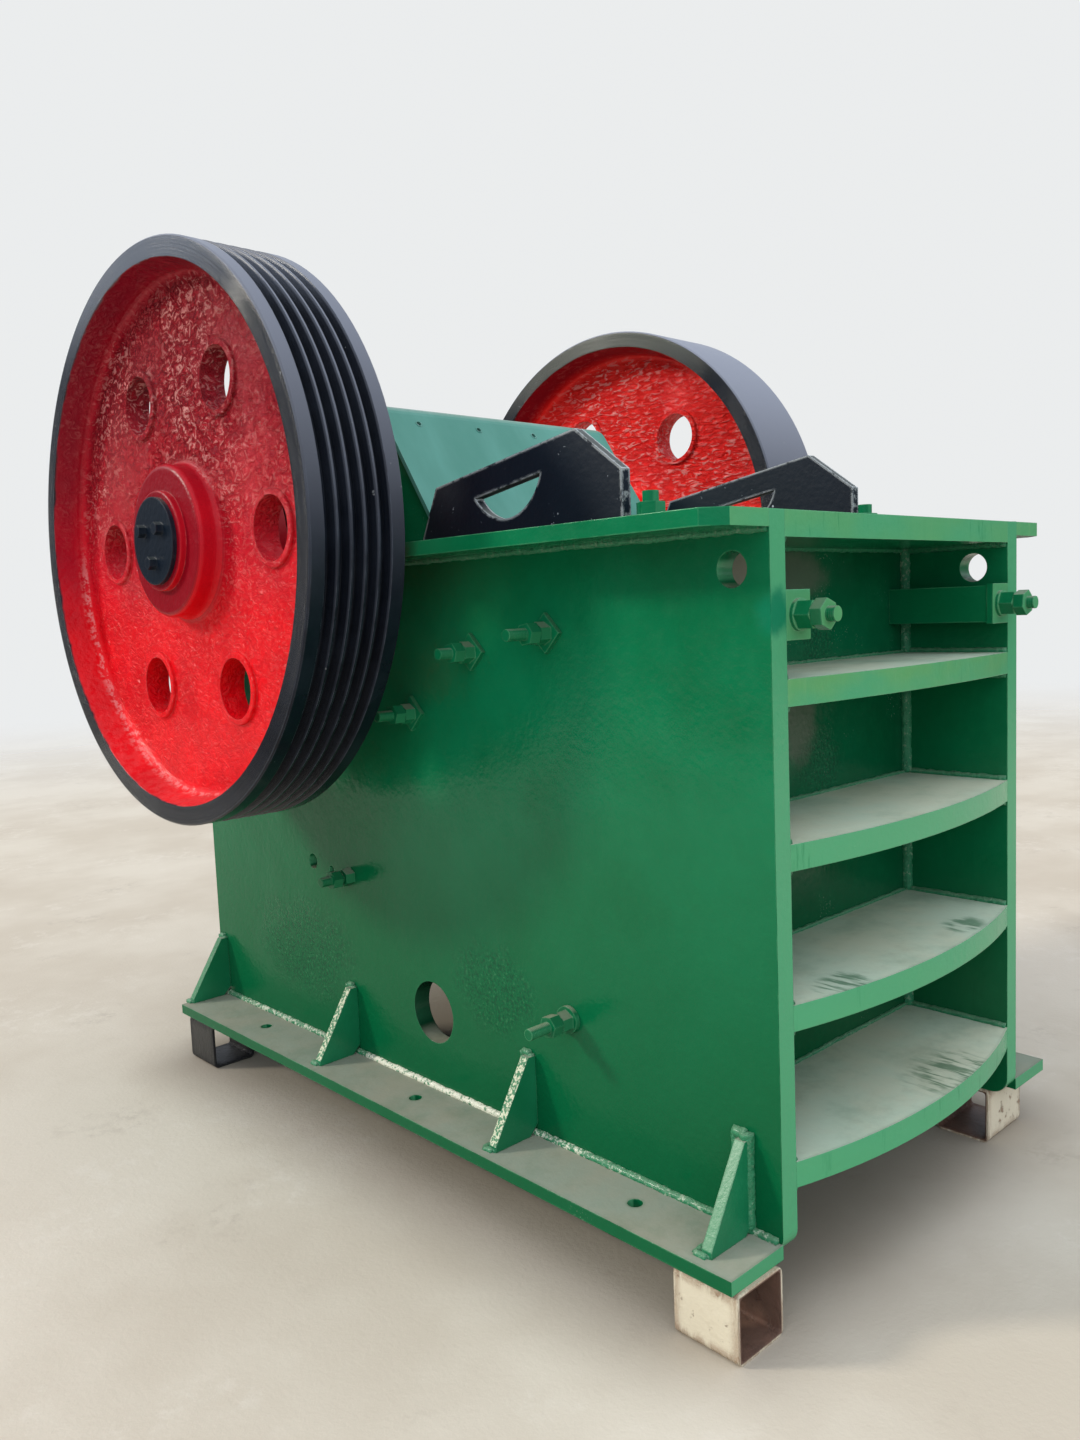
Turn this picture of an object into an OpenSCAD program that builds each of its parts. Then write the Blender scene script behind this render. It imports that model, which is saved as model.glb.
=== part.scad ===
// Single-toggle jaw crusher with a grooved drive wheel and a plain flywheel.
// X runs along the shaft, the grooved wheel is on the -X side, -Y is the ribbed front, +Z is up.
// Inside, y = 0 is the front edge of the side plates and z = 0 the underside of the base flange.

/* [Frame] */
// Clear width between the two side plates
inner_w = 956; // [900:1:1010]
// Thickness of each side plate
side_t = 50; // [36:1:60]
// Height of the frame from the base flange to its top
frame_h = 1480; // [1440:1:1540]
// Length of the side plates
frame_l = 2324; // [2300:1:2420]
// Height of the rear edge of the side plates
rear_edge_h = 1000; // [820:1:1100]
// Where the side plate starts to slope down behind the bearings
slope_y = 2000; // [1990:1:2060]
// Rounding of the lower front corner of the side plates
plate_corner_r = 45; // [20:1:60]
// Distance of the front wall behind the front edge
wall_y = 280; // [240:1:300]
// Thickness of the front wall
wall_t = 45; // [36:1:56]
// Thickness of the plate on top of the front wall
top_plate_t = 52; // [36:1:60]
// Thickness of each shelf rib
rib_t = 54; // [36:1:60]
// Height from one shelf rib to the next
rib_pitch = 324; // [310:1:334]
// How far each rib bulges out, from the top one down
rib_bow = [28, 52, 62, 72]; // [20:1:80]
// Width of the flange along the top edge
top_flange_w = 160; // [120:1:180]
// Thickness of the flange along the top edge
top_flange_t = 34; // [24:1:44]
// Cut corner of the top flange
flange_chamfer = 40; // [10:1:80]
// Width of the base flange outside the side plate
base_w = 170; // [160:1:190]
// Thickness of the base flange
base_t = 30; // [20:1:36]
// Length of the base flange
base_l = 2296; // [2290:1:2299]

/* [Base] */
// Radius of the holes for foundation bolts
anchor_r = 17; // [12:0.5:20]
// Distance of the foundation bolts from the side plate
anchor_x = 81; // [60:1:100]
// Distance of the first foundation bolt from the front
anchor_y = 323; // [300:1:360]
// Spacing of the foundation bolts
anchor_pitch = 783; // [770:1:800]
// Places of the gussets along the base flange
gusset_y = [84, 726, 1493, 2283]; // [60:1:2283]
// Thickness of a gusset
gusset_t = 25; // [16:1:26]
// Height of a gusset above the flange
gusset_h = 198; // [160:1:230]
// Reach of a gusset at its foot
gusset_foot = 138; // [110:1:155]
// Width of a gusset at its top
gusset_head = 24; // [16:1:40]
// Height of the blunt toe of a gusset
gusset_toe = 14; // [8:1:24]
// Cut in the inner corner of a gusset, clear of the weld
gusset_snipe = 26; // [14:1:34]
// Size of the square support tubes
foot_size = 145; // [120:1:160]
// Wall of the support tubes
foot_wall = 8; // [5:0.5:12]
// Outer corner radius of the support tubes
foot_round = 16; // [13:1:24]
// Length of the support tubes that lie along Y
foot_l = 158; // [140:1:200]
// Length of the support tube that lies across
foot_cross_l = 190; // [160:1:200]
// Distance of the support tubes from the side plates
foot_x = 90; // [80:1:100]
// How far the near front tube stands in front of the side plates
foot_out = 8; // [0:1:20]
// Distance of the rear tubes from the front edge
foot_rear_y = 2100; // [2060:1:2130]
// Distance of the tube that lies across from the front edge
foot_cross_y = 48; // [30:1:70]
// How far the tube that lies across reaches in under the frame
foot_cross_in = 56; // [30:1:80]

/* [Side plate holes] */
// Radius of the lifting hole near the top front corner
lift_r = 36; // [25:0.5:40]
// Distance of the lifting hole from the front edge
lift_y = 89; // [80:1:110]
// Depth of the lifting hole below the top
lift_drop = 109; // [95:1:115]
// Radius of the access hole at the tension rod
access_r = 84; // [60:1:90]
// Distance of the access hole from the front edge
access_y = 1115; // [1090:1:1150]
// Height of the access hole
access_z = 240; // [225:1:260]
// Radius of the shim hole
shim_hole_r = 23; // [16:0.5:26]
// Radius of the peg hole
peg_hole_r = 12; // [8:0.5:16]

/* [Bolts] */
// Radius of the studs through the side plates
stud_r = 13.5; // [10:0.5:15]
// Radial room around a stud in its hole
stud_room = 1.5; // [1:0.25:3]
// Width across the flats of a stud nut
nut_af = 46; // [36:1:50]
// Height of a stud nut
nut_h = 30; // [16:1:32]
// Size of the square washers
washer_size = 66; // [60:1:80]
// Thickness of the washers
washer_t = 12; // [8:1:14]
// How far the studs reach out of the side plate, before what each adds or lacks
stud_reach = 118; // [100:1:130]

/* [Chamber] */
// Opening between the jaws at the top
gape = 600; // [560:1:610]
// Gap between the jaws at the bottom
setting = 100; // [85:1:120]
// Height of the lower end of the jaws
jaw_z0 = 330; // [320:1:345]
// How far the swing jaw plate ends above the frame top
jaw_rise = 20; // [10:1:24]
// Thickness of the jaw plates over the teeth
jaw_t = 88; // [80:1:96]
// Height of the teeth
tooth_h = 32; // [24:1:38]
// Spacing of the teeth
tooth_pitch = 90; // [80:1:100]
// Width of a tooth crest
crest_w = 20; // [14:1:26]
// Width of a valley floor
valley_w = 26; // [16:1:30]
// Thickness of the cheek plates
cheek_t = 28; // [22:1:30]
// Height at which the upper cheek plates meet the lower ones
cheek_split_z = 850; // [820:1:900]
// Height of the cheek plates' front corner above the frame top
cheek_front_rise = 126; // [80:1:140]
// Peak of the cheek plates: behind their front edge, above the frame top
cheek_peak = [138, 229]; // [100:1:240]
// Rear corner of the cheek plates: behind their front edge, above the frame top
cheek_back = [644, 150]; // [100:1:700]
// Tail of the cheek plates: behind their front edge, above the frame top
cheek_tail = [707, 27]; // [10:1:760]
// Width of the upper cheek plates at their lower end
cheek_w = 800; // [760:1:830]
// Width of the lower cheek plates at their upper end
cheek_low_w = 485; // [460:1:560]
// Width of the lower cheek plates at their foot
cheek_foot_w = 260; // [240:1:300]
// Depth of the cheek plates below the jaw plates
cheek_foot_drop = 30; // [10:1:40]
// Radius of the lifting slot in the upper cheek plates
slot_r = 133; // [110:1:140]
// Centre of the lifting slot: behind the front edge, above the frame top
slot_at = [381, 183]; // [150:1:390]
// Height of the rim over the lifting slot
slot_rim = 66; // [60:1:80]
// Gap between the upper and the lower cheek plates
cheek_gap = 3; // [1:0.5:6]
// Side clearance of the moving jaw in the chamber
jaw_side_gap = 7; // [6:0.5:12]

/* [Front clamps] */
// Width of a clamp bar
bar_w = 76; // [60:1:78]
// Height of a clamp bar
bar_h = 90; // [70:1:94]
// Width of the plate on the end of a clamp bar
clamp_plate_w = 82; // [80:1:90]
// Height of the plate on the end of a clamp bar
clamp_plate_h = 98; // [96:1:106]
// Thickness of the plate on the end of a clamp bar
clamp_plate_t = 16; // [10:1:20]
// Depth of the clamp bars below the frame top
clamp_drop = 201; // [185:1:205]
// Radius of a clamp bolt
clamp_bolt_r = 15; // [10:0.5:17]
// How far a clamp bolt reaches in front of its plate
clamp_reach = 87; // [70:1:100]

/* [Shaft and bearings] */
// Distance of the shaft from the front edge
shaft_y = 1628; // [1618:1:1640]
// Height of the shaft above the frame top
shaft_rise = 50; // [40:1:60]
// Radius of the shaft in the wheels
seat_shaft_r = 95; // [85:0.5:98]
// Radius of the shaft in the frame bearings
journal_r = 100; // [99:0.5:108]
// Radius of the eccentric middle of the shaft
ecc_r = 124; // [122:0.5:140]
// Eccentricity of the shaft
throw = 14; // [8:0.5:15]
// Outer radius of the bearings
bearing_r = 210; // [190:1:220]
// Width of a bearing
bearing_w = 150; // [120:1:155]
// Outer radius of the bearing housings
housing_r = 265; // [250:1:275]
// Width of a bearing housing
housing_w = 170; // [166:1:175]
// How far a housing reaches inside the side plate
housing_in = 32; // [20:1:36]
// How far the ears of a housing reach from the shaft
ear_reach = 350; // [340:1:358]
// Thickness of the ears on a bearing cap
ear_t = 55; // [40:1:70]
// Radius of a bearing cover
cover_r = 238; // [225:1:245]
// Thickness of a bearing cover
cover_t = 20; // [14:1:26]
// Radial clearance of a running or seated fit
fit = 0.08; // [0.02:0.01:0.1]

/* [Wheels] */
// Outer radius of both wheels
wheel_r = 760; // [700:1:790]
// Width of both wheels
wheel_w = 258; // [250:1:270]
// Distance of the grooved wheel's outer face from the middle
grooved_face_x = 979; // [970:1:1000]
// Distance of the plain wheel's outer face from the middle
plain_face_x = 1005; // [1000:1:1030]
// Radial thickness of the rim at its faces
rim_t = 52; // [44:1:60]
// Extra rim thickness at the web, from the casting's draft
rim_draft = 16; // [6:1:24]
// Thickness of the web
web_t = 50; // [40:1:60]
// Depth of the web below the outer face
web_depth = 92; // [84:1:104]
// Radius of the fillets of the web
web_fillet = 28; // [16:1:34]
// Number of V-belt grooves
groove_n = 5; // [3:1:6]
// Spacing of the grooves
groove_pitch = 37; // [36:0.5:38]
// Width of a groove at the rim
groove_w = 32; // [28:0.5:33]
// Width of a groove at its bottom
groove_floor = 14; // [10:0.5:18]
// Depth of a groove
groove_depth = 28; // [20:1:30]
// Radius of the hub
hub_r = 202; // [180:1:215]
// Depth of the hub's outer end below the rim face
hub_depth = 24; // [20:1:30]
// How far the hub stands out on the machine side of the rim
hub_back = 20; // [10:1:24]
// Rounding of the hub's edge
hub_round = 16; // [6:1:24]
// Radius of the collar on the hub
collar_r = 132; // [125:1:145]
// Height of the collar on the hub
collar_h = 18; // [10:1:20]
// Number of holes in the web
lighten_n = 6; // [5:1:7]
// Radius of the holes in the web
lighten_r = 80; // [60:1:90]
// Radius of the circle on which the holes lie
lighten_pcd_r = 454; // [430:1:480]
// Width of the raised lip round a hole
lip_w = 16; // [10:1:20]
// Height of the raised lip round a hole
lip_h = 10; // [5:1:16]
// Radius of the shaft end discs
disc_r = 115; // [108:1:122]
// Thickness of the shaft end discs
disc_t = 12; // [8:1:16]
// Width across the flats of the end disc bolts
disc_bolt_af = 30; // [22:1:36]
// Height of the end disc bolt heads
disc_bolt_h = 20; // [12:1:20]
// Radius of the circle of the end disc bolts
disc_bolt_pcd_r = 58; // [48:1:70]

/* [Swing jaw] */
// Outer radius of the pitman head
head_r = 268; // [250:1:275]
// Side clearance between the pitman head and the bearing housings
head_gap = 18; // [14:1:30]
// Thickness of the pitman's front slab
slab_t = 70; // [56:1:80]
// Thickness of the pitman's ribs
pitman_rib_t = 44; // [36:1:52]
// Depth of the pitman's ribs behind the jaw plate at mid height
pitman_rib_depth = 340; // [300:1:360]
// Number of ribs on the back of the pitman
pitman_rib_n = 5; // [4:1:6]
// Side clearance between the guard plate and the cheek plates
guard_gap = 6; // [6:1:30]
// Thickness of the guard plate
guard_t = 12; // [8:1:16]
// Height of the guard plate's crest above the shaft
guard_rise = 363; // [350:1:380]
// Distance of the guard plate's crest in front of the shaft
guard_crest = 318; // [290:1:340]
// Foot of the guard plate behind and above the top of the pitman's slab
guard_foot_at = [34, 116]; // [20:1:140]
// Spacing of the screw holes along the top of the guard plate
guard_bolt_pitch = 220; // [180:1:240]
// Distance of the screw holes below the bend of the guard plate
guard_bolt_drop = 20; // [12:1:40]
// Radius of the screw holes in the guard plate
guard_bolt_r = 7; // [4:0.5:9]
// Bend radius of the guard plate
guard_bend = 70; // [50:1:90]

/* [Toggle] */
// Radius of the rounded ends of the toggle plate
toggle_end_r = 35; // [28:1:38]
// Thickness of the toggle plate
toggle_t = 50; // [36:1:54]
// Distance of the front toggle seat behind the pitman's slab
toggle_back = 164; // [150:1:180]
// Distance of the front toggle seat above the foot of the jaw
toggle_up = 260; // [240:1:280]
// Width of the toggle plate
toggle_w = 620; // [500:1:700]
// Distance of the rear toggle seat from the front edge
seat_y = 1485; // [1470:1:1500]
// Height of the rear toggle seat
seat_z = 560; // [550:1:575]
// Clearance of a seated toggle end
seat_room = 0.3; // [0.2:0.1:0.8]
// Height of the adjusting block
block_h = 180; // [150:1:190]
// Length of the adjusting block
block_l = 150; // [130:1:160]
// Number of shims behind the adjusting block
shim_n = 3; // [2:1:4]
// Thickness of a shim
shim_t = 20; // [12:1:22]
// Radius of the tension rod
rod_r = 20; // [14:0.5:22]
// Height of the tension rod at rest
rod_z = 285; // [275:1:295]
// Radius of the wire of the tension spring
wire_r = 9; // [6:0.5:10]
// Number of turns of the tension spring
spring_turns = 6; // [4:1:7]

/* [Hidden] */
$fn = 96;
over = 1;
left = -1;
right = 1;

green = [0.05, 0.36, 0.16];
pale_green = [0.42, 0.62, 0.5];
red = [0.78, 0.06, 0.05];
black = [0.06, 0.06, 0.08];
cream = [0.8, 0.76, 0.65];
steel = [0.45, 0.45, 0.46];

outer_w = inner_w + 2 * side_t;
shaft_z = frame_h + shaft_rise;
ecc_z = shaft_z - throw;
jaw_face_y = wall_y + wall_t + jaw_t;
jaw_top_z = frame_h + jaw_rise;
nip = atan((gape - setting) / (jaw_top_z - jaw_z0));
jaw_len = (jaw_top_z - jaw_z0) / cos(nip);
chamber_w = inner_w - 2 * cheek_t;
moving_w = chamber_w - 2 * jaw_side_gap;
housing_x0 = inner_w / 2 - housing_in;
head_half_w = housing_x0 - head_gap;
guard_w = chamber_w - 2 * guard_gap;
front_reach = clamp_reach;
y_mid = (shaft_y + wheel_r - front_reach) / 2;
big_fn = 360;

// Moves the machine so that the ground under its middle is the origin
module place() { translate([0, -y_mid, foot_size]) children(); }

// Mirrors a right hand piece to the side asked for
module on_side(side) { mirror([side < 0 ? 1 : 0, 0, 0]) children(); }

// A plate of thickness t drawn in Y and Z, from x = x0 outwards
module yz(x0, t) { translate([x0, 0, 0]) rotate([90, 0, 90]) linear_extrude(t) children(); }

// A cylinder along X, from x0 over length l, round the point y, z
module x_rod(x0, l, r, y, z, n = $fn) {
    translate([x0, y, z]) rotate([0, 90, 0]) cylinder(r = r, h = l, $fn = n);
}

// A cylinder along Y, from y0 over length l, round the point x, z
module y_rod(y0, l, r, x, z, n = $fn) {
    translate([x, y0, z]) rotate([-90, 0, 0]) cylinder(r = r, h = l, $fn = n);
}

// A hexagon nut with its flats af apart
module hex_nut(af, h) { cylinder(r = af / 2 / cos(30), h = h, $fn = 6); }

// Points on an arc round c, from angle a0 to a1
function arc(c, r, a0, a1, n = 6) = [for (i = [0 : n]) c + r * [cos(a0 + (a1 - a0) * i / n), sin(a0 + (a1 - a0) * i / n)]];

// Studs of a side plate: distance from the front, height, kind of washer, what its reach adds or lacks
stud_points = [[610, frame_h - 225, "diamond", 11], [880, frame_h - 268, "diamond", -8],
    [1135, frame_h - 429, "diamond", 0], [587, 351, "round", 15], [seat_y - 4, seat_z, "plain", -16]];
shim_hole = [seat_y + 197, seat_z + 17];
peg_hole = [seat_y + 96, seat_z + 5];

module side_outline() {
    polygon(concat(arc([plate_corner_r, plate_corner_r], plate_corner_r, 180, 270, 8),
        [[frame_l, 0], [frame_l, rear_edge_h], [slope_y, frame_h], [0, frame_h]]));
}

module side_plate(side) {
    color(green) place() on_side(side) difference() {
        yz(inner_w / 2, side_t) side_outline();
        x_rod(inner_w / 2 - over, side_t + 2 * over, housing_r + fit, shaft_y, shaft_z);
        x_rod(inner_w / 2 - over, side_t + 2 * over, lift_r, lift_y, frame_h - lift_drop);
        x_rod(inner_w / 2 - over, side_t + 2 * over, access_r, access_y, access_z);
        x_rod(inner_w / 2 - over, side_t + 2 * over, shim_hole_r, shim_hole[0], shim_hole[1]);
        x_rod(inner_w / 2 - over, side_t + 2 * over, peg_hole_r, peg_hole[0], peg_hole[1]);
        for (p = stud_points)
            x_rod(inner_w / 2 - over, side_t + 2 * over, stud_r + stud_room, p[0], p[1]);
    }
}

function rib_z(i) = frame_h - i * rib_pitch;
wall_z0 = rib_z(4) - rib_t;

ledge_h = 60;
module front_wall() {
    color(green) place() difference() {
        union() {
            translate([-inner_w / 2, wall_y, wall_z0])
                cube([inner_w, wall_t, frame_h - top_plate_t - wall_z0]);
            translate([-inner_w / 2, wall_y + wall_t, jaw_z0 - ledge_h])
                cube([inner_w, jaw_t - tooth_h, ledge_h]);
        }
        for (side = [left, right])
            y_rod(wall_y - over, wall_t + 2 * over, clamp_bolt_r + stud_room, side * clamp_x, clamp_z);
    }
}

module front_top_plate() {
    color(green) place() translate([-inner_w / 2, 0, frame_h - top_plate_t])
        cube([inner_w, wall_y + wall_t, top_plate_t]);
}

// A shelf rib with its front edge bulging out by bow
module front_rib(i) {
    bow = rib_bow[i - 1];
    bow_r = (inner_w * inner_w / 4 + bow * bow) / (2 * bow);
    color(green) place() translate([0, 0, rib_z(i) - rib_t]) linear_extrude(rib_t) intersection() {
        translate([0, bow_r - bow]) circle(bow_r, $fn = big_fn);
        translate([-inner_w / 2, -bow - over]) square([inner_w, wall_y + bow + over]);
    }
}

flange_rear_y0 = shaft_y + housing_r + 6;
flange_front_y1 = shaft_y - housing_r - 6;
module top_flange(side) {
    x1 = outer_w / 2 + top_flange_w;
    color(green) place() on_side(side) translate([0, 0, frame_h - top_flange_t]) linear_extrude(top_flange_t) {
        polygon([[outer_w / 2, 0], [x1 - flange_chamfer, 0], [x1, flange_chamfer],
            [x1, flange_front_y1], [outer_w / 2, flange_front_y1]]);
        translate([outer_w / 2, flange_rear_y0]) square([top_flange_w, slope_y - flange_rear_y0]);
    }
}

module base_flange(side) {
    color(green) place() on_side(side) difference() {
        translate([outer_w / 2, 0, 0]) cube([base_w, base_l, base_t]);
        for (i = [0 : 2])
            translate([outer_w / 2 + anchor_x, anchor_y + i * anchor_pitch, -over])
                cylinder(r = anchor_r, h = base_t + 2 * over);
    }
}

module gussets(side) {
    color(green) place() on_side(side) for (y = gusset_y)
        translate([outer_w / 2, y + gusset_t / 2, base_t]) rotate([90, 0, 0]) linear_extrude(gusset_t)
            polygon([[gusset_snipe, 0], [gusset_foot, 0], [gusset_foot, gusset_toe],
                [gusset_head, gusset_h], [0, gusset_h], [0, gusset_snipe]]);
}

rear_t = 40;
rear_wall_y = 2060;
rear_wall_z0 = 150;
rear_wall_z1 = 1040;
block_y0 = seat_y + 5;
thrust_y = block_y0 + block_l + shim_n * shim_t;
rear_slab_h = block_h + 20;
ledge_w = 80;
module rear_wall() {
    color(green) place() {
        difference() {
            translate([-inner_w / 2, rear_wall_y, rear_wall_z0])
                cube([inner_w, rear_t, rear_wall_z1 - rear_wall_z0]);
            y_rod(rear_wall_y - over, rear_t + 2 * over, rod_r + seat_room, 0, rod_z);
        }
        translate([-inner_w / 2, thrust_y, seat_z - rear_slab_h / 2 - rear_t])
            cube([inner_w, rear_t, rear_slab_h + 2 * rear_t]);
        for (side = [left, right]) on_side(side)
            translate([inner_w / 2 - ledge_w, block_y0, seat_z - block_h / 2 - rear_t])
                cube([ledge_w, thrust_y - block_y0 + over, rear_t]);
    }
}

rear_rib_l = 150;
module rear_ribs() {
    color(green) place() {
        for (z = [seat_z - rear_slab_h / 2 - rear_t, seat_z + rear_slab_h / 2])
            translate([-inner_w / 2, thrust_y + rear_t, z]) cube([inner_w, rear_wall_y - thrust_y - rear_t, rear_t]);
        for (z = [seat_z - rear_slab_h / 2 - rear_t, seat_z + rear_slab_h / 2, rear_wall_z1 - rear_t])
            translate([-inner_w / 2, rear_wall_y + rear_t, z]) cube([inner_w, rear_rib_l, rear_t]);
    }
}

// The ears of a bearing housing, from z0 over height h
module ears(z0, h) {
    translate([housing_x0, shaft_y - ear_reach, z0]) cube([housing_w, 2 * ear_reach, h]);
}

module bearing_seat(side) {
    color(green) place() on_side(side) difference() {
        union() {
            intersection() {
                x_rod(housing_x0, housing_w, housing_r, shaft_y, shaft_z);
                translate([housing_x0 - over, shaft_y - housing_r - over, shaft_z - housing_r - over])
                    cube([housing_w + 2 * over, 2 * housing_r + 2 * over, housing_r + over]);
            }
            ears(frame_h, shaft_rise);
        }
        x_rod(housing_x0 - over, housing_w + 2 * over, bearing_r + fit, shaft_y, shaft_z);
    }
}

cap_bolt_r = 16;
cap_bolt_h = 44;
cap_nut_af = 41;
cap_nut_h = 24;
module bearing_cap(side) {
    color(green) place() on_side(side) {
        difference() {
            union() {
                intersection() {
                    x_rod(housing_x0, housing_w, housing_r, shaft_y, shaft_z);
                    translate([housing_x0 - over, shaft_y - housing_r - over, shaft_z])
                        cube([housing_w + 2 * over, 2 * housing_r + 2 * over, housing_r + over]);
                }
                ears(shaft_z, ear_t);
            }
            x_rod(housing_x0 - over, housing_w + 2 * over, bearing_r + fit, shaft_y, shaft_z);
        }
        for (x = [housing_x0 + housing_w / 4, housing_x0 + 3 * housing_w / 4])
            for (s = [-1, 1]) translate([x, shaft_y + s * (housing_r + ear_reach) / 2, shaft_z + ear_t]) {
                hex_nut(cap_nut_af, cap_nut_h);
                cylinder(r = cap_bolt_r, h = cap_bolt_h);
            }
    }
}

cover_gap = 6;
module bearing(side) {
    color(black) place() on_side(side) difference() {
        union() {
            x_rod(housing_x0 + (housing_w - bearing_w) / 2, bearing_w, bearing_r, shaft_y, shaft_z);
            x_rod(housing_x0 + housing_w / 2, housing_w / 2, bearing_r, shaft_y, shaft_z);
            x_rod(housing_x0 + housing_w, cover_t, cover_r, shaft_y, shaft_z);
        }
        x_rod(housing_x0 - over, housing_w + cover_t + 2 * over, journal_r + fit, shaft_y, shaft_z);
        x_rod(housing_x0 + (housing_w + bearing_w) / 2, housing_w + cover_t, journal_r + cover_gap,
            shaft_y, shaft_z);
    }
}

// Outline of the upper cheek plate: it rises over the frame top in a peak, with a D-shaped lifting slot
cheek_y0 = jaw_face_y + 1;
module cheek_upper_outline() {
    chord = cheek_back - cheek_peak;
    translate([cheek_y0, 0]) difference() {
        polygon([[cheek_w, cheek_split_z], [0, cheek_split_z], [0, frame_h + cheek_front_rise],
            [cheek_peak[0], frame_h + cheek_peak[1]], [cheek_back[0], frame_h + cheek_back[1]],
            [cheek_tail[0], frame_h + cheek_tail[1]]]);
        intersection() {
            translate([slot_at[0], frame_h + slot_at[1]]) circle(slot_r);
            translate([cheek_peak[0], frame_h + cheek_peak[1] - slot_rim]) rotate(atan2(chord[1], chord[0]))
                translate([0, -2 * slot_r]) square([norm(chord), 2 * slot_r]);
        }
    }
}

module cheek_upper(side) {
    color(black) place() on_side(side) difference() {
        yz(inner_w / 2 - cheek_t, cheek_t) cheek_upper_outline();
        for (p = [stud_points[0], stud_points[1], stud_points[2]])
            x_rod(inner_w / 2 - cheek_t / 2, cheek_t, stud_r + stud_room, p[0], p[1]);
    }
}

module cheek_lower(side) {
    z0 = jaw_z0 - cheek_foot_drop;
    z1 = cheek_split_z - cheek_gap;
    color(black) place() on_side(side) difference() {
        yz(inner_w / 2 - cheek_t, cheek_t) translate([cheek_y0, 0])
            polygon([[0, z0], [cheek_foot_w, z0], [cheek_low_w, z1], [0, z1]]);
        x_rod(inner_w / 2 - cheek_t / 2, cheek_t, stud_r + stud_room, stud_points[3][0], stud_points[3][1]);
    }
}

// Section of a toothed plate: its back at y = 0, crests and side lands at y = t, n valleys
module toothed_section(w, t, n) {
    flank = (tooth_pitch - crest_w - valley_w) / 2;
    polygon(concat([[w / 2, 0], [-w / 2, 0], [-w / 2, t]],
        [for (i = [0 : n - 1], q = [[-valley_w / 2 - flank, t], [-valley_w / 2, t - tooth_h],
            [valley_w / 2, t - tooth_h], [valley_w / 2 + flank, t]])
            [(i - (n - 1) / 2) * tooth_pitch + q[0], q[1]]], [[w / 2, t]]));
}

valley_n = floor(chamber_w / tooth_pitch);
plate_gap = 2;
fixed_jaw_top = frame_h - 40;
module fixed_jaw_plate() {
    color(steel) place() translate([0, wall_y + wall_t, jaw_z0]) linear_extrude(fixed_jaw_top - jaw_z0)
        toothed_section(inner_w - 2 * plate_gap, jaw_t, valley_n);
}

clamp_block = [76, jaw_t - 6, 60];
wedge_bolt_r = 18;
wedge_nut_af = 55;
wedge_nut_h = 30;
wedge_bolt_out = 24;
module jaw_clamps() {
    color(green) place() for (side = [left, right])
        translate([side * (inner_w / 2 - clamp_block[0] / 2 - 2 * plate_gap), wall_y + wall_t + jaw_t / 2,
            fixed_jaw_top]) {
            translate([-clamp_block[0] / 2, -clamp_block[1] / 2, 0]) cube(clamp_block);
            translate([0, 0, clamp_block[2]]) hex_nut(wedge_nut_af, wedge_nut_h);
            translate([0, 0, clamp_block[2]]) cylinder(r = wedge_bolt_r, h = wedge_nut_h + wedge_bolt_out);
        }
}

clamp_x = inner_w / 2 - clamp_plate_w / 2;
clamp_z = frame_h - clamp_drop;
clamp_washer_r = 32;
clamp_washer_t = 8;
clamp_nut_af = 54;
clamp_nut_h = 34;
clamp_lock_h = 25;
module clamp_bar(side) {
    bolt_end = wall_y + wall_t - plate_gap;
    color(green) place() on_side(side) {
        difference() {
            union() {
                translate([clamp_x - bar_w / 2, clamp_plate_t, clamp_z - bar_h / 2])
                    cube([bar_w, wall_y - clamp_plate_t, bar_h]);
                translate([clamp_x - clamp_plate_w / 2, 0, clamp_z - clamp_plate_h / 2])
                    cube([clamp_plate_w, clamp_plate_t, clamp_plate_h]);
            }
            y_rod(-over, wall_y + 2 * over, clamp_bolt_r + stud_room, clamp_x, clamp_z);
        }
        y_rod(-clamp_reach, clamp_reach + bolt_end, clamp_bolt_r, clamp_x, clamp_z);
        y_rod(-clamp_washer_t, clamp_washer_t, clamp_washer_r, clamp_x, clamp_z);
        translate([clamp_x, -clamp_washer_t, clamp_z]) rotate([90, 0, 0]) {
            hex_nut(clamp_nut_af, clamp_nut_h);
            translate([0, 0, clamp_nut_h + nut_joint]) rotate(nut_turn) hex_nut(clamp_nut_af, clamp_lock_h);
        }
    }
}

// One stud with its nuts and washer on the outer face of the side plate
lock_nut_gap = 10;
nut_joint = 1;
nut_turn = 20;
module side_stud(p) {
    inner = cheek_t / 2 - plate_gap;
    nut_x = p[2] == "plain" ? outer_w / 2 : outer_w / 2 + washer_t;
    x_rod(inner_w / 2 - inner, side_t + inner + stud_reach + p[3], stud_r, p[0], p[1]);
    if (p[2] == "diamond") translate([outer_w / 2 + washer_t / 2, p[0], p[1]]) rotate([45, 0, 0])
        cube([washer_t, washer_size, washer_size], center = true);
    if (p[2] == "round") x_rod(outer_w / 2, washer_t, washer_size / 2, p[0], p[1]);
    translate([nut_x, p[0], p[1]]) rotate([0, 90, 0]) hex_nut(nut_af, nut_h);
    translate([nut_x + nut_h + (p[2] == "plain" ? lock_nut_gap : nut_joint), p[0], p[1]])
        rotate([0, 90, 0]) rotate(nut_turn) hex_nut(nut_af, nut_h);
}

module side_studs(side) { color(green) place() on_side(side) for (p = stud_points) side_stud(p); }

// Corner points of a square of side a with rounded corners of radius r
function round_square(a, r) = [for (q = [0 : 3])
    each arc([a / 2 - r, a / 2 - r] - [q == 1 || q == 2 ? a - 2 * r : 0, q >= 2 ? a - 2 * r : 0], r, q * 90, q * 90 + 90, 4)];

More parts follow.
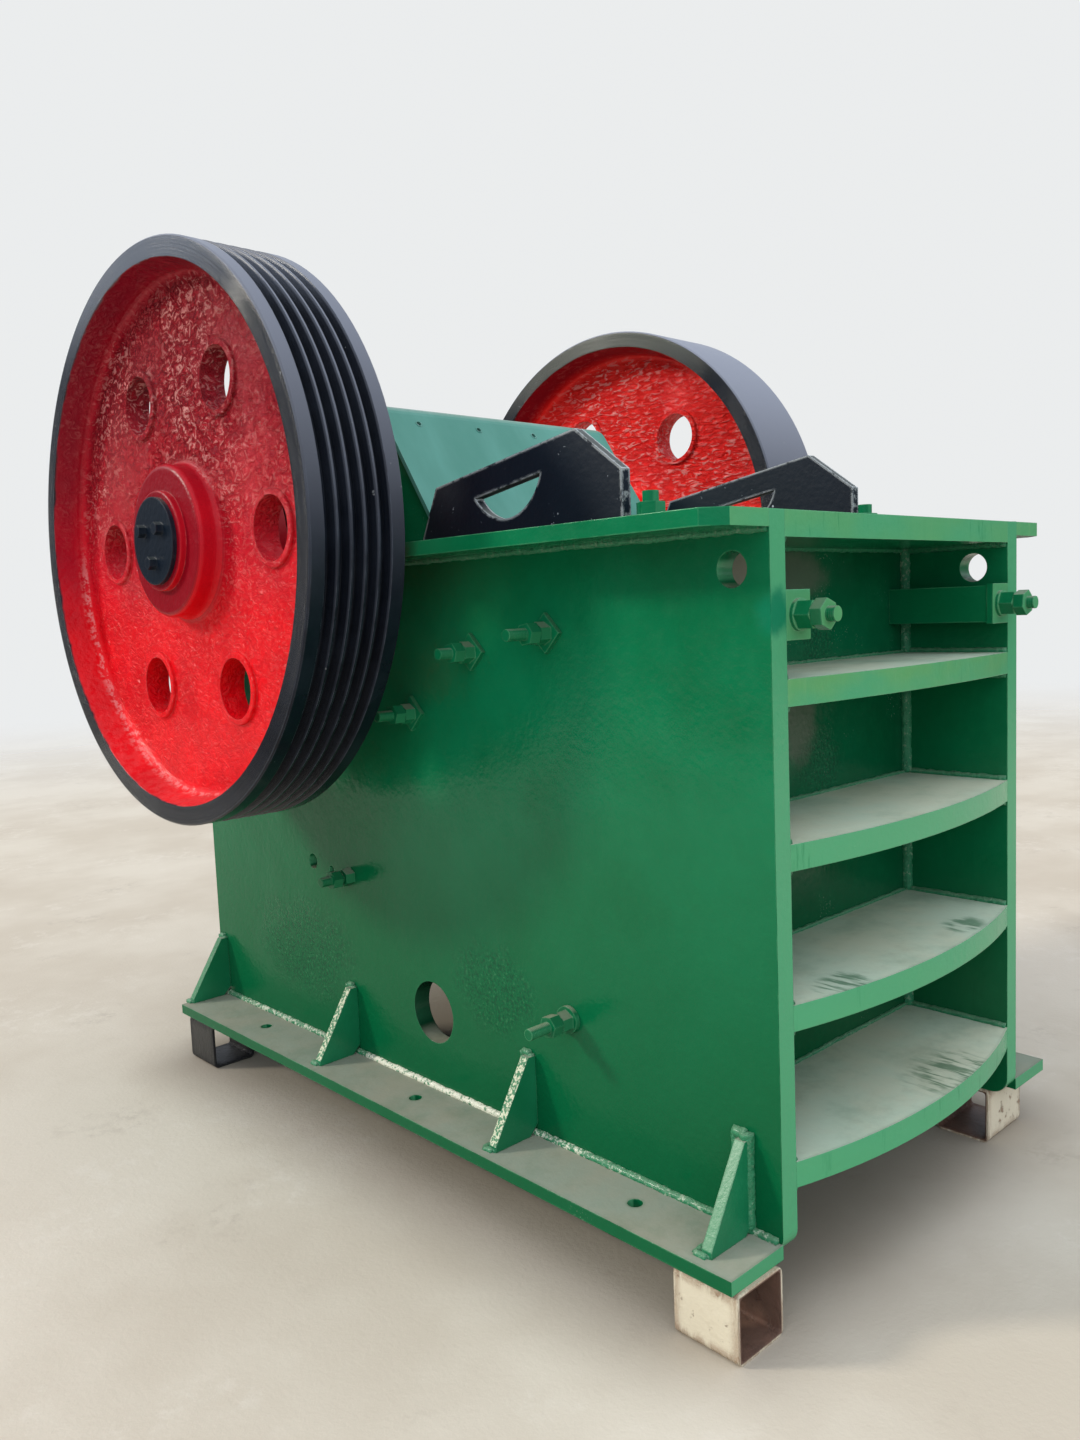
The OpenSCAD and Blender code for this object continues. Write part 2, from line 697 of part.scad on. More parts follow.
// A square tube lying along Y, with its front end at y = 0 and its top at z = 0
module square_tube(l) {
    translate([0, l, -foot_size / 2]) rotate([90, 0, 0]) linear_extrude(l) difference() {
        polygon(round_square(foot_size, foot_round));
        polygon(round_square(foot_size - 2 * foot_wall, foot_round - foot_wall));
    }
}

module support_tubes() {
    x = outer_w / 2 + foot_x;
    color(cream) place() {
        translate([-x, -foot_out, 0]) square_tube(foot_l);
        for (s = [-1, 1]) translate([s * x, foot_rear_y, 0]) square_tube(foot_l);
        translate([outer_w / 2 - foot_cross_in, foot_cross_y + foot_size / 2, 0])
            rotate([0, 0, -90]) square_tube(foot_cross_l);
    }
}

block_gap = 8;
module adjusting_block() {
    w = inner_w - 2 * block_gap;
    color(green) place() difference() {
        translate([-w / 2, block_y0, seat_z - block_h / 2]) cube([w, block_l + shim_n * shim_t, block_h]);
        x_rod(-w / 2 - over, w + 2 * over, toggle_end_r + seat_room, seat_y, seat_z);
    }
}

// A point in the jaw's own frame: u behind the tips of its teeth, v up along it
function jaw_pt(u, v) = [jaw_face_y + setting + v * sin(nip) + u * cos(nip), jaw_z0 + v * cos(nip) - u * sin(nip)];

// The front end of the toggle stands where the pitman's seat is in mid stroke
toggle_front = jaw_pt(jaw_t + slab_t + toggle_back, toggle_up);
module toggle_plate() {
    d = [seat_y, seat_z] - toggle_front;
    l = norm(d);
    color(steel) place() {
        x_rod(-toggle_w / 2, toggle_w, toggle_end_r, seat_y, seat_z);
        x_rod(-toggle_w / 2, toggle_w, toggle_end_r, toggle_front[0], toggle_front[1]);
        yz(-toggle_w / 2, toggle_w) translate(toggle_front) rotate(atan2(d[1], d[0]))
            translate([0, -toggle_t / 2]) square([l, toggle_t]);
    }
}

// Puts pieces in the jaw's own frame: z up along the jaw, y square to it and to the rear
module in_jaw() { translate([0, jaw_face_y + setting, jaw_z0]) rotate([-nip, 0, 0]) children(); }

module moving_jaw_plate() {
    color(steel) place() in_jaw() translate([0, jaw_t, 0]) mirror([0, 1, 0]) linear_extrude(jaw_len)
        toothed_section(moving_w, jaw_t, valley_n - 1);
}

toe_h = 70;
toe_depth = 60;
seat_gap = throw + 6;
seat_block = [150, 200];
seat_lip = 5;
seat_drop = 110;
eye_r = 34;
eye_w = 40;
eye_back = 60;
eye_pin_r = 15;
lug_t = 24;
lug_gap = 6;
slab_top = jaw_len - 40;
seat_block_z = toggle_front[1] - seat_drop;
eye_y = toggle_front[0] - eye_back;
eye_pin_half = eye_w / 2 + lug_gap + lug_t;
rib_waist = 0.48;
head_tan = 0.7;
rib_set_in = 20;

// Outline of a rib on the back of the pitman, from its toe up to the bearing head
module pitman_rib_outline() {
    back_y = toggle_front[0] - seat_lip;
    polygon([jaw_pt(jaw_t + rib_set_in, -toe_h), jaw_pt(jaw_t + rib_set_in, slab_top),
        [shaft_y, ecc_z + head_r / 2],
        [shaft_y + head_r * head_tan, ecc_z - head_r * head_tan],
        jaw_pt(jaw_t + pitman_rib_depth, jaw_len * rib_waist), [back_y, seat_block_z + seat_block[1]],
        [back_y, seat_block_z], jaw_pt(jaw_t + slab_t + toe_depth, -toe_h)]);
}

// Outline of a rib that carries the guard plate
module brow_outline() {
    polygon(concat(guard_inner, [[shaft_y, ecc_z], jaw_pt(jaw_t + slab_t, slab_top - slab_t),
        jaw_pt(jaw_t + rib_set_in, slab_top)]));
}

module pitman() {
    color(green) place() difference() {
        union() {
            in_jaw() translate([-moving_w / 2, jaw_t, -toe_h]) cube([moving_w, slab_t, slab_top + toe_h]);
            in_jaw() translate([-moving_w / 2, tooth_h, -toe_h]) cube([moving_w, jaw_t - tooth_h + over, toe_h - over]);
            x_rod(-head_half_w, 2 * head_half_w, head_r, shaft_y, ecc_z);
            for (i = [0 : pitman_rib_n - 1]) {
                x0 = -head_half_w + i * (2 * head_half_w - pitman_rib_t) / (pitman_rib_n - 1);
                yz(x0, pitman_rib_t) pitman_rib_outline();
                yz(x0, pitman_rib_t) brow_outline();
            }
            translate([-moving_w / 2, toggle_front[0] - seat_lip - seat_block[0], seat_block_z])
                cube([moving_w, seat_block[0], seat_block[1]]);
            for (side = [left, right]) on_side(side) {
                x_rod(eye_w / 2 + lug_gap, lug_t, eye_r + seat_gap, eye_y, rod_z - throw);
                translate([eye_w / 2 + lug_gap, eye_y - eye_r, rod_z - throw])
                    cube([lug_t, 2 * eye_r, seat_block_z - rod_z + throw + over]);
            }
        }
        x_rod(-head_half_w - over, 2 * head_half_w + 2 * over, ecc_r + fit, shaft_y, ecc_z);
        x_rod(-moving_w / 2 - over, moving_w + 2 * over, toggle_end_r + seat_gap, toggle_front[0],
            toggle_front[1] - throw);
        x_rod(-eye_pin_half - over, 2 * eye_pin_half + 2 * over, eye_pin_r + seat_gap, eye_y, rod_z - throw);
        x_rod(-eye_w / 2 - lug_gap, eye_w + 2 * lug_gap, eye_r + seat_gap, eye_y, rod_z - throw);
    }
}

guard_top_z = shaft_z + guard_rise;
guard_foot = jaw_pt(jaw_t, slab_top) + guard_foot_at;
guard_crest_y = shaft_y - guard_crest;
guard_slope = atan2(guard_top_z - guard_foot[1], guard_crest_y - guard_foot[0]);
guard_c = [guard_crest_y + guard_bend, guard_top_z - guard_bend];
guard_outer = concat([guard_foot], arc(guard_c, guard_bend, 90 + guard_slope, 90), [[shaft_y, guard_top_z]]);
guard_inner = concat([guard_foot + guard_t * [sin(guard_slope), -cos(guard_slope)]],
    arc(guard_c, guard_bend - guard_t, 90 + guard_slope, 90), [[shaft_y, guard_top_z - guard_t]]);
guard_bolt_n = 4;
module guard_plate() {
    top = guard_outer[1];
    color(pale_green) place() difference() {
        yz(-guard_w / 2, guard_w)
            polygon(concat(guard_outer, [for (i = [len(guard_inner) - 1 : -1 : 0]) guard_inner[i]]));
        for (i = [0 : guard_bolt_n - 1])
            translate([(i - (guard_bolt_n - 1) / 2) * guard_bolt_pitch, top[0], top[1]]) rotate([guard_slope, 0, 0])
                translate([0, -guard_bolt_drop, -guard_t]) cylinder(r = guard_bolt_r, h = 3 * guard_t, center = true);
    }
}

rod_y1 = 2330;
rod_nut_af = 60;
rod_nut_h = 30;
cup_t = 14;
module tension_rod() {
    spring_end = rear_wall_y + rear_t + spring_l;
    color(steel) place() {
        y_rod(eye_y, rod_y1 - eye_y, rod_r, 0, rod_z);
        x_rod(-eye_w / 2, eye_w, eye_r, eye_y, rod_z);
        x_rod(-eye_pin_half, 2 * eye_pin_half, eye_pin_r, eye_y, rod_z);
        y_rod(spring_end, cup_t, coil_r + wire_r, 0, rod_z);
        for (y = [spring_end + cup_t, spring_end + cup_t + rod_nut_h + plate_gap])
            translate([0, y + rod_nut_h, rod_z]) rotate([90, 0, 0]) hex_nut(rod_nut_af, rod_nut_h);
    }
}

// A helical spring round the tension rod, pressed between the rear wall and the rod's cup
coil_r = rod_r + wire_r + 12;
spring_pitch = 3 * wire_r;
spring_l = spring_turns * spring_pitch + 2 * wire_r;
spring_steps = 24;
ring_n = 10;
module tension_spring() {
    steps = spring_turns * spring_steps;
    points = [for (i = [0 : steps], j = [0 : ring_n - 1])
        let (a = 360 * i / spring_steps, b = 360 * j / ring_n, r = coil_r + wire_r * cos(b))
        [r * cos(a), r * sin(a), wire_r + i * spring_pitch / spring_steps + wire_r * sin(b)]];
    sides = [for (i = [0 : steps - 1], j = [0 : ring_n - 1])
        let (k = (j + 1) % ring_n) [i * ring_n + j, i * ring_n + k, (i + 1) * ring_n + k, (i + 1) * ring_n + j]];
    ends = [[for (j = [ring_n - 1 : -1 : 0]) j], [for (j = [0 : ring_n - 1]) steps * ring_n + j]];
    color(black) place() translate([0, rear_wall_y + rear_t, rod_z]) rotate([-90, 0, 0])
        polyhedron(points, concat(sides, ends));
}

// The shaft: its wheel seats and journals turn true, its middle runs out by the throw
module eccentric_shaft() {
    xl = grooved_face_x - wheel_w - hub_back;
    xr = plain_face_x - wheel_w - hub_back;
    l_end = grooved_face_x - hub_depth + collar_h;
    r_end = l_end;
    color(steel) place() {
        x_rod(-l_end, l_end + r_end, seat_shaft_r, shaft_y, shaft_z);
        x_rod(-xl, xl + xr, journal_r, shaft_y, shaft_z);
        x_rod(-head_half_w, 2 * head_half_w, ecc_r, shaft_y, ecc_z);
    }
}

// Half section of a wheel: radius, and depth below its outer face
module wheel_section(hub_end, grooved) {
    rim_face = wheel_r - rim_t;
    rim_web = rim_face - rim_draft;
    web1 = web_depth + web_t;
    f = web_fillet;
    edge = 4;
    g0 = wheel_w / 2 - (groove_n - 1) * groove_pitch / 2;
    polygon(concat(
        [[seat_shaft_r + fit, hub_end - collar_h]],
        arc([collar_r - edge, hub_end - collar_h + edge], edge, -90, 0, 2),
        [[collar_r, hub_end]],
        arc([hub_r - hub_round, hub_end + hub_round], hub_round, -90, 0),
        arc([hub_r + f, web_depth - f], f, 180, 90),
        arc([rim_web - f, web_depth - f], f, 90, 0),
        [[rim_face, 0], [wheel_r - edge, 0], [wheel_r, edge]],
        grooved ? [for (i = [0 : groove_n - 1], q = [[0, -groove_w / 2], [groove_depth, -groove_floor / 2],
            [groove_depth, groove_floor / 2], [0, groove_w / 2]])
            [wheel_r - q[0], g0 + i * groove_pitch + q[1]]] : [],
        [[wheel_r, wheel_w - edge], [wheel_r - edge, wheel_w], [rim_face, wheel_w]],
        arc([rim_web - f, web1 + f], f, 0, -90),
        arc([hub_r + f, web1 + f], f, 270, 180),
        [[hub_r, wheel_w + hub_back], [seat_shaft_r + fit, wheel_w + hub_back]]));
}

// Half section of the raised lips on both faces of the web, rounded over
module lip_section() {
    r = lighten_r - over;
    round = lip_h / 2;
    z0 = web_depth - lip_h;
    z1 = web_depth + web_t + lip_h;
    polygon(concat([[r, z0]], arc([lighten_r + lip_w - round, z0 + round], round, -90, 0, 3),
        arc([lighten_r + lip_w - round, z1 - round], round, 0, 90, 3), [[r, z1]]));
}

// A wheel round the Z axis, its outer face at z = 0, with raised lips round its holes
module wheel(hub_end, grooved) {
    difference() {
        union() {
            rotate_extrude($fn = big_fn) wheel_section(hub_end, grooved);
            for (i = [0 : lighten_n - 1]) rotate(i * 360 / lighten_n) translate([lighten_pcd_r, 0, 0])
                rotate_extrude() lip_section();
        }
        for (i = [0 : lighten_n - 1]) rotate(i * 360 / lighten_n) translate([lighten_pcd_r, 0, web_depth - lip_h - over])
            cylinder(r = lighten_r, h = web_t + 2 * lip_h + 2 * over);
    }
}

module grooved_flywheel() {
    color(red) place() translate([-grooved_face_x, shaft_y, shaft_z]) rotate([0, 90, 0]) rotate(90)
        wheel(hub_depth, true);
}

plain_hub = hub_depth + plain_face_x - grooved_face_x;
module plain_flywheel() {
    color(red) place() translate([plain_face_x, shaft_y, shaft_z]) rotate([0, -90, 0]) rotate(85)
        wheel(plain_hub, false);
}

module end_disc(side) {
    x0 = grooved_face_x - hub_depth + collar_h;
    color(black) place() on_side(side) {
        x_rod(x0, disc_t, disc_r, shaft_y, shaft_z);
        for (a = [30, 150, 270])
            translate([x0 + disc_t, shaft_y + disc_bolt_pcd_r * cos(a), shaft_z + disc_bolt_pcd_r * sin(a)])
                rotate([0, 90, 0]) hex_nut(disc_bolt_af, disc_bolt_h);
    }
}

side_plate(left);  // side_plate_left
side_plate(right);  // side_plate_right
front_wall();
front_top_plate();
front_rib(1);  // front_rib_1
front_rib(2);  // front_rib_2
front_rib(3);  // front_rib_3
front_rib(4);  // front_rib_4
top_flange(left);  // top_flange_left
top_flange(right);  // top_flange_right
base_flange(left);  // base_flange_left
base_flange(right);  // base_flange_right
gussets(left);  // gussets_left
gussets(right);  // gussets_right
rear_wall();
rear_ribs();
bearing_seat(left);  // bearing_seat_left
bearing_seat(right);  // bearing_seat_right
bearing_cap(left);  // bearing_cap_left
bearing_cap(right);  // bearing_cap_right
bearing(left);  // bearing_left
bearing(right);  // bearing_right
cheek_upper(left);  // cheek_upper_left
cheek_upper(right);  // cheek_upper_right
cheek_lower(left);  // cheek_lower_left
cheek_lower(right);  // cheek_lower_right
fixed_jaw_plate();
jaw_clamps();
clamp_bar(left);  // clamp_bar_left
clamp_bar(right);  // clamp_bar_right
side_studs(left);  // side_studs_left
side_studs(right);  // side_studs_right
support_tubes();
adjusting_block();
toggle_plate();
tension_spring();
eccentric_shaft();
grooved_flywheel();
plain_flywheel();
end_disc(left);  // end_disc_left
end_disc(right);  // end_disc_right
pitman();
guard_plate();
moving_jaw_plate();
tension_rod();
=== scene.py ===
import math

import bmesh
import bpy
from mathutils import Matrix, Vector


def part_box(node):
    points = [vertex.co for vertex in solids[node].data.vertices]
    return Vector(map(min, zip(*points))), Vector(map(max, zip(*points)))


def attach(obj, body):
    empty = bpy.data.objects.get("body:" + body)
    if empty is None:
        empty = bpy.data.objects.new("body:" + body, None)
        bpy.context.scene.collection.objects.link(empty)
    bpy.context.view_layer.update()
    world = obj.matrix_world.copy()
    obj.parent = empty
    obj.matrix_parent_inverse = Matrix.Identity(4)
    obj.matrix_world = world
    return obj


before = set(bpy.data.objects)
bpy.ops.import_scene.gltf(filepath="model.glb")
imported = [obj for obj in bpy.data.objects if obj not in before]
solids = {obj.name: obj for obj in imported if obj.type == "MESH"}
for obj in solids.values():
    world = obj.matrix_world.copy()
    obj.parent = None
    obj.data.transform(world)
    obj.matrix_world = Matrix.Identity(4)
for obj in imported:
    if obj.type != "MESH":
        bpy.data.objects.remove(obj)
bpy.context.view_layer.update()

SIDES = ((-1, "left"), (1, "right"))

# Drawing millimetres: x from the middle of the machine, y from the front edge of the side plates,
# z from the underside of the base flange. at() turns them into metres in the shared frame.
plate_low, plate_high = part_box("side_plate_left")
PLATE_X = -plate_low.x * 1000
INNER_X = -plate_high.x * 1000
FRAME_H = (plate_high.z - plate_low.z) * 1000
WALL_Y = (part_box("front_wall")[0].y - plate_low.y) * 1000
FLANGE_T, TOP_FLANGE_T, TOP_T = 30, 34, 52
RIB_PITCH, RIB_T = 324, 54
GUSSETS = (84, 726, 1493, 2283)
GUSSET_T, GUSSET_H, GUSSET_FOOT, SNIPE = 25, 198, 138, 26


def at(x, y, z):
    return Vector((x / 1000, plate_low.y + y / 1000, plate_low.z + z / 1000))


# Metres in the shared frame. The wheels have a hub, a web, a barrel inside the rim and a black rim.
wheel_low, wheel_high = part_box("grooved_flywheel")
SHAFT = (wheel_low + wheel_high) / 2
WHEEL_R = (wheel_high.z - wheel_low.z) / 2
HUB_R, BARREL_R, BLACK_FROM_R = 0.202, 0.688, WHEEL_R - 0.0535
# Square tubes under the corners: half their width, where the middles of the front ones lie, and the
# distance from the machine's middle past which its front and rear ends are told apart
tube_low, tube_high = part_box("support_tubes")
TUBE_HALF = (tube_high.z - tube_low.z) / 2
TUBE_X = PLATE_X / 1000 + 0.090
TUBE_Y = at(0, 120.5, 0).y
END_Y = 0.5


# Paint and metal

class Nodes:
    """Short ways to add nodes to a tree. step() goes smoothly from one value to another."""

    def __init__(self, tree):
        self.tree = tree

    def add(self, kind, **settings):
        node = self.tree.nodes.new(kind)
        for key, value in settings.items():
            setattr(node, key, value)
        return node

    def plug(self, socket, value):
        if isinstance(value, bpy.types.NodeSocket):
            self.tree.links.new(value, socket)
        elif isinstance(value, tuple) and len(value) == 3 and socket.type == "RGBA":
            socket.default_value = (*value, 1)
        else:
            socket.default_value = value

    def step(self, value, low, high, to_low=0.0, to_high=1.0):
        node = self.add("ShaderNodeMapRange", interpolation_type="SMOOTHSTEP")
        for key, number in (("From Min", low), ("From Max", high), ("To Min", to_low), ("To Max", to_high)):
            node.inputs[key].default_value = number
        self.plug(node.inputs["Value"], value)
        return node.outputs["Result"]

    def axis(self, vector, which):
        node = self.add("ShaderNodeSeparateXYZ")
        self.plug(node.inputs[0], vector)
        return node.outputs[which]

    def either(self, share, a, b):
        """One shader fading into another."""
        node = self.add("ShaderNodeMixShader")
        for socket, value in zip(node.inputs, (share, a, b)):
            self.plug(socket, value)
        return node.outputs[0]


class Finish(Nodes):
    """A material under construction, with more short ways to add to it."""

    def __init__(self, name):
        self.material = bpy.data.materials.new(name)
        self.material.use_nodes = True
        super().__init__(self.material.node_tree)
        self.shader = self.tree.nodes["Principled BSDF"]
        self.place = self.add("ShaderNodeTexCoord").outputs["Object"]
        self.normal = self.add("ShaderNodeNewGeometry").outputs["Normal"]

    def calc(self, kind, a, b=0.0, c=0.0):
        node = self.add("ShaderNodeMath", operation=kind)
        for socket, value in zip(node.inputs, (a, b, c)):
            self.plug(socket, value)
        return node.outputs[0]

    def times(self, *values):
        product = values[0]
        for value in values[1:]:
            product = self.calc("MULTIPLY", product, value)
        return product

    def less(self, value):
        return self.calc("SUBTRACT", 1.0, value)

    def off(self, value, middle):
        """How far a value lies from its middle, on either side."""
        return self.calc("ABSOLUTE", self.calc("SUBTRACT", value, middle))

    def noise(self, scale, detail=3.0, rough=0.5, warp=0.0, place=None):
        node = self.add("ShaderNodeTexNoise")
        self.plug(node.inputs["Vector"], place or self.place)
        node.inputs["Scale"].default_value = scale
        node.inputs["Detail"].default_value = detail
        node.inputs["Roughness"].default_value = rough
        node.inputs["Distortion"].default_value = warp
        return node.outputs["Fac"]

    def blend(self, share, a, b):
        node = self.add("ShaderNodeMix", data_type="RGBA")
        self.plug(node.inputs["Factor"], share)
        self.plug(node.inputs["A"], a)
        self.plug(node.inputs["B"], b)
        return node.outputs["Result"]

    def reach(self, centre, stretch=(1, 1, 1)):
        """Distance from a point, with each axis scaled by stretch."""
        node = self.add("ShaderNodeVectorMath", operation="SUBTRACT")
        self.plug(node.inputs[0], self.place)
        node.inputs[1].default_value = centre
        scale = self.add("ShaderNodeVectorMath", operation="MULTIPLY")
        self.plug(scale.inputs[0], node.outputs[0])
        scale.inputs[1].default_value = stretch
        length = self.add("ShaderNodeVectorMath", operation="LENGTH")
        self.plug(length.inputs[0], scale.outputs[0])
        return length.outputs["Value"]

    def near(self, spot, size, stretch=(1, 1, 1), ragged=0.9):
        """1 in a ragged patch round a place on the machine, 0 outside it."""
        fringe = self.times(self.noise(13, 4, 0.65), size * ragged)
        far = self.calc("ADD", self.reach(tuple(spot), stretch), fringe)
        return self.step(far, size * 0.9, size * 1.5, 1.0, 0.0)

    def stretched(self, x, y, z):
        node = self.add("ShaderNodeMapping")
        self.plug(node.inputs["Vector"], self.place)
        node.inputs["Scale"].default_value = (x, y, z)
        return node.outputs[0]

    def round_edges(self, radius):
        node = self.add("ShaderNodeBevel", samples=4)
        node.inputs["Radius"].default_value = radius
        return node.outputs["Normal"]

    def edges(self, radius, low=0.05, high=0.25):
        """1 near an outer or inner edge of the piece, 0 on its flats."""
        dot = self.add("ShaderNodeVectorMath", operation="DOT_PRODUCT")
        self.plug(dot.inputs[0], self.round_edges(radius))
        self.plug(dot.inputs[1], self.normal)
        return self.step(self.less(dot.outputs["Value"]), low, high)

    def upward(self, low=0.6, high=0.95):
        """1 on faces that look up, 0 on upright ones."""
        return self.step(self.axis(self.normal, 2), low, high)

    def forward(self):
        """1 on faces that look to the front."""
        return self.step(self.times(self.axis(self.normal, 1), -1.0), 0.75, 0.95)

    def relief(self, height, depth, base=None):
        node = self.add("ShaderNodeBump")
        node.inputs["Strength"].default_value = 1.0
        node.inputs["Distance"].default_value = depth
        self.plug(node.inputs["Height"], height)
        if base is not None:
            self.plug(node.inputs["Normal"], base)
        return node.outputs["Normal"]

    def close(self, colour, roughness, normal, coat=0.0, shine=0.35):
        self.plug(self.shader.inputs["Base Color"], colour)
        self.plug(self.shader.inputs["Roughness"], roughness)
        self.plug(self.shader.inputs["Normal"], normal)
        self.plug(self.shader.inputs["Specular IOR Level"], shine)
        self.shader.inputs["Coat Weight"].default_value = coat
        self.shader.inputs["Coat Roughness"].default_value = 0.12
        return self.material


# Colours of the enamel and of what lies on it, as shares of red, green and blue light
# The second dust, on the base flange, is toned darker as painted shade.
DUST, SHADED_FLANGE_DUST, SHELF_DUST = (0.33, 0.35, 0.26), (0.27, 0.30, 0.235), (0.50, 0.60, 0.46)
DEEP_GREEN, LIGHT_GREEN = (0.002, 0.120, 0.042), (0.004, 0.178, 0.070)
FRONT_LIT_GREEN, LOW_SHADE_GREEN, SPOT_GREEN = (0.074, 0.335, 0.155), (0.001, 0.062, 0.018), (0.012, 0.215, 0.075)
LIME, BRIGHT_LIME, DRIP_GREEN = (0.125, 0.335, 0.110), (0.210, 0.410, 0.170), (0.012, 0.190, 0.072)
GRAIN_LIGHT, GRAIN_DARK = (0.06, 0.25, 0.11), (0.003, 0.052, 0.024)
RUBBED_GREEN, HOLE_SHADE_GREEN, FRESH_GREEN = (0.13, 0.42, 0.21), (0.002, 0.022, 0.010), (0.004, 0.17, 0.080)
CHIP_GREY, CREAM = (0.42, 0.50, 0.38), (0.74, 0.73, 0.58)
BROWN, BUFF = (0.13, 0.135, 0.10), (0.30, 0.27, 0.21)
# The enamel is darker, as painted shade, and duller below the first of these heights than above the second,
# in metres
SHADE_LOW, SHADE_HIGH = 0.2, 1.3


def brush_strokes(f, colour, ahead, strength):
    """Lime strokes of the brush and darker drips on front edges, mostly on the upper ones."""
    brushed = f.noise(1.0, 5, 0.7, place=f.stretched(34, 5, 4.0))
    cloud = f.step(f.noise(1.0, 3, 0.5, place=f.stretched(3.2, 3, 6)), 0.36, 0.62)
    height = f.axis(f.place, 2)
    upper = f.step(height, at(0, 0, FRAME_H - 420).z, at(0, 0, FRAME_H - 330).z, 0.10, 1.0)
    lime = f.times(ahead, upper, strength)
    colour = f.blend(f.times(lime, cloud, 0.85), colour, LIME)
    colour = f.blend(f.times(lime, f.step(brushed, 0.50, 0.75), cloud, 0.5), colour, BRIGHT_LIME)
    drips = f.times(ahead, f.step(brushed, 0.44, 0.30), f.step(f.noise(2.4, 2, 0.5), 0.45, 0.60), 0.5)
    return f.blend(drips, colour, DRIP_GREEN)


def top_dust(f, swept):
    """1 where dust lies: on top faces, thinner at their edges, with streaks swept off in places."""
    lying = f.step(f.noise(6, 5, 0.7), 0.22, 0.58, 0.72, 1.0)
    at_edges = f.times(f.edges(0.016, 0.02, 0.3), f.noise(18, 4, 0.7), 0.9)
    film = f.times(f.upward(), lying, f.less(at_edges))
    for spot, size, stretch in swept:
        streaks = f.step(f.noise(1.0, 3, 0.6, place=f.stretched(54, 9, 9)), 0.43, 0.57)
        film = f.times(film, f.less(f.times(f.near(at(*spot), size, stretch), streaks, 0.66)))
    return film


def green_enamel(name, dust=0.3, chips=0.0, dirt=(), rough_spots=(), swept=(), front=0.0, strokes=0.0,
        lift=0.0, film_tint=DUST, depth=1.0, bore=None):
    """Machine enamel over plate: clouds, painted shade low down, painted light on front faces, rubbed edges,
    dust on top.
    """
    f = Finish(name)
    height = f.axis(f.place, 2)
    clouds = f.step(f.noise(1.5, 4, 0.6), 0.32, 0.7)
    # Fewer light clouds low down, part of the painted shade.
    clouds = f.times(clouds, f.step(height, SHADE_LOW, SHADE_HIGH, 0.25, 1.0))
    # depth below 1 darkens the enamel as painted shade, for the recessed walls.
    deep, light = (tuple(c * depth for c in tone) for tone in (DEEP_GREEN, LIGHT_GREEN))
    colour = f.blend(clouds, deep, light)
    colour = f.blend(f.times(f.step(f.noise(34, 4, 0.7), 0.45, 0.75), 0.10), colour, SPOT_GREEN)
    # Painted shade low down.
    colour = f.blend(f.step(height, SHADE_LOW, 1.1, 0.40, 0.0), colour, LOW_SHADE_GREEN)
    # Painted light: faces that look to the front are paler.
    ahead = f.times(f.forward(), front)
    colour = f.blend(ahead, colour, FRONT_LIT_GREEN)
    if strokes:
        colour = brush_strokes(f, colour, ahead, strokes)
    rubbed = f.times(f.edges(0.006), f.step(f.noise(11, 4, 0.6), 0.36, 0.62))
    colour = f.blend(f.times(rubbed, 0.45 + lift), colour, RUBBED_GREEN)
    bump = f.noise(60, 3, 0.5)
    for spot, size, stretch in rough_spots:
        here = f.near(at(*spot), size, stretch)
        grain = f.noise(115, 3, 0.6)
        bump = f.calc("ADD", bump, f.times(here, grain, 2.6))
        colour = f.blend(f.times(here, f.step(grain, 0.58, 0.68), 0.34), colour, GRAIN_LIGHT)
        colour = f.blend(f.times(here, f.step(grain, 0.52, 0.38), 0.58), colour, GRAIN_DARK)
    if chips:
        flecks = f.step(f.noise(210, 2, 0.5), 0.64, 0.70)
        chipped = f.step(f.noise(6, 3, 0.6), 0.54, 0.68)
        colour = f.blend(f.times(flecks, chipped, chips, 0.7), colour, CHIP_GREY)
    for spot, size, stretch, tint, share in dirt:
        colour = f.blend(f.times(f.near(at(*spot), size, stretch), share), colour, tint)
    # Painted shade on the wall inside the round hole.
    if bore:
        middle, radius = bore
        in_hole = f.step(f.reach(at(*middle), (0, 1, 1)), radius * 1.01, radius * 1.03, 1.0, 0.0)
        wall = f.step(f.calc("ABSOLUTE", f.axis(f.normal, 0)), 0.4, 0.7, 0.85, 0.0)
        colour = f.blend(f.times(in_hole, wall), colour, HOLE_SHADE_GREEN)
    film = f.times(top_dust(f, swept), dust)
    warm_film = tuple(c * k for c, k in zip(film_tint, (1.12, 0.98, 0.95)))
    tint = f.blend(f.step(f.noise(3.2, 4, 0.65), 0.35, 0.65), film_tint, warm_film)
    colour = f.blend(film, colour, tint)
    colour = f.blend(f.times(f.step(f.noise(0.9, 3, 0.5), 0.5, 0.8), 0.05), colour, DUST)
    rough = f.calc("ADD", f.step(f.noise(22, 3, 0.6), 0.3, 0.7, 0.15, 0.25), f.times(film, 0.55))
    skin = f.relief(bump, 0.0011, f.round_edges(0.003))
    skin = f.relief(f.noise(5, 2, 0.5), 0.003, skin)
    return f.close(colour, rough, skin, shine=f.step(height, SHADE_LOW, SHADE_HIGH, 0.13, 0.26))


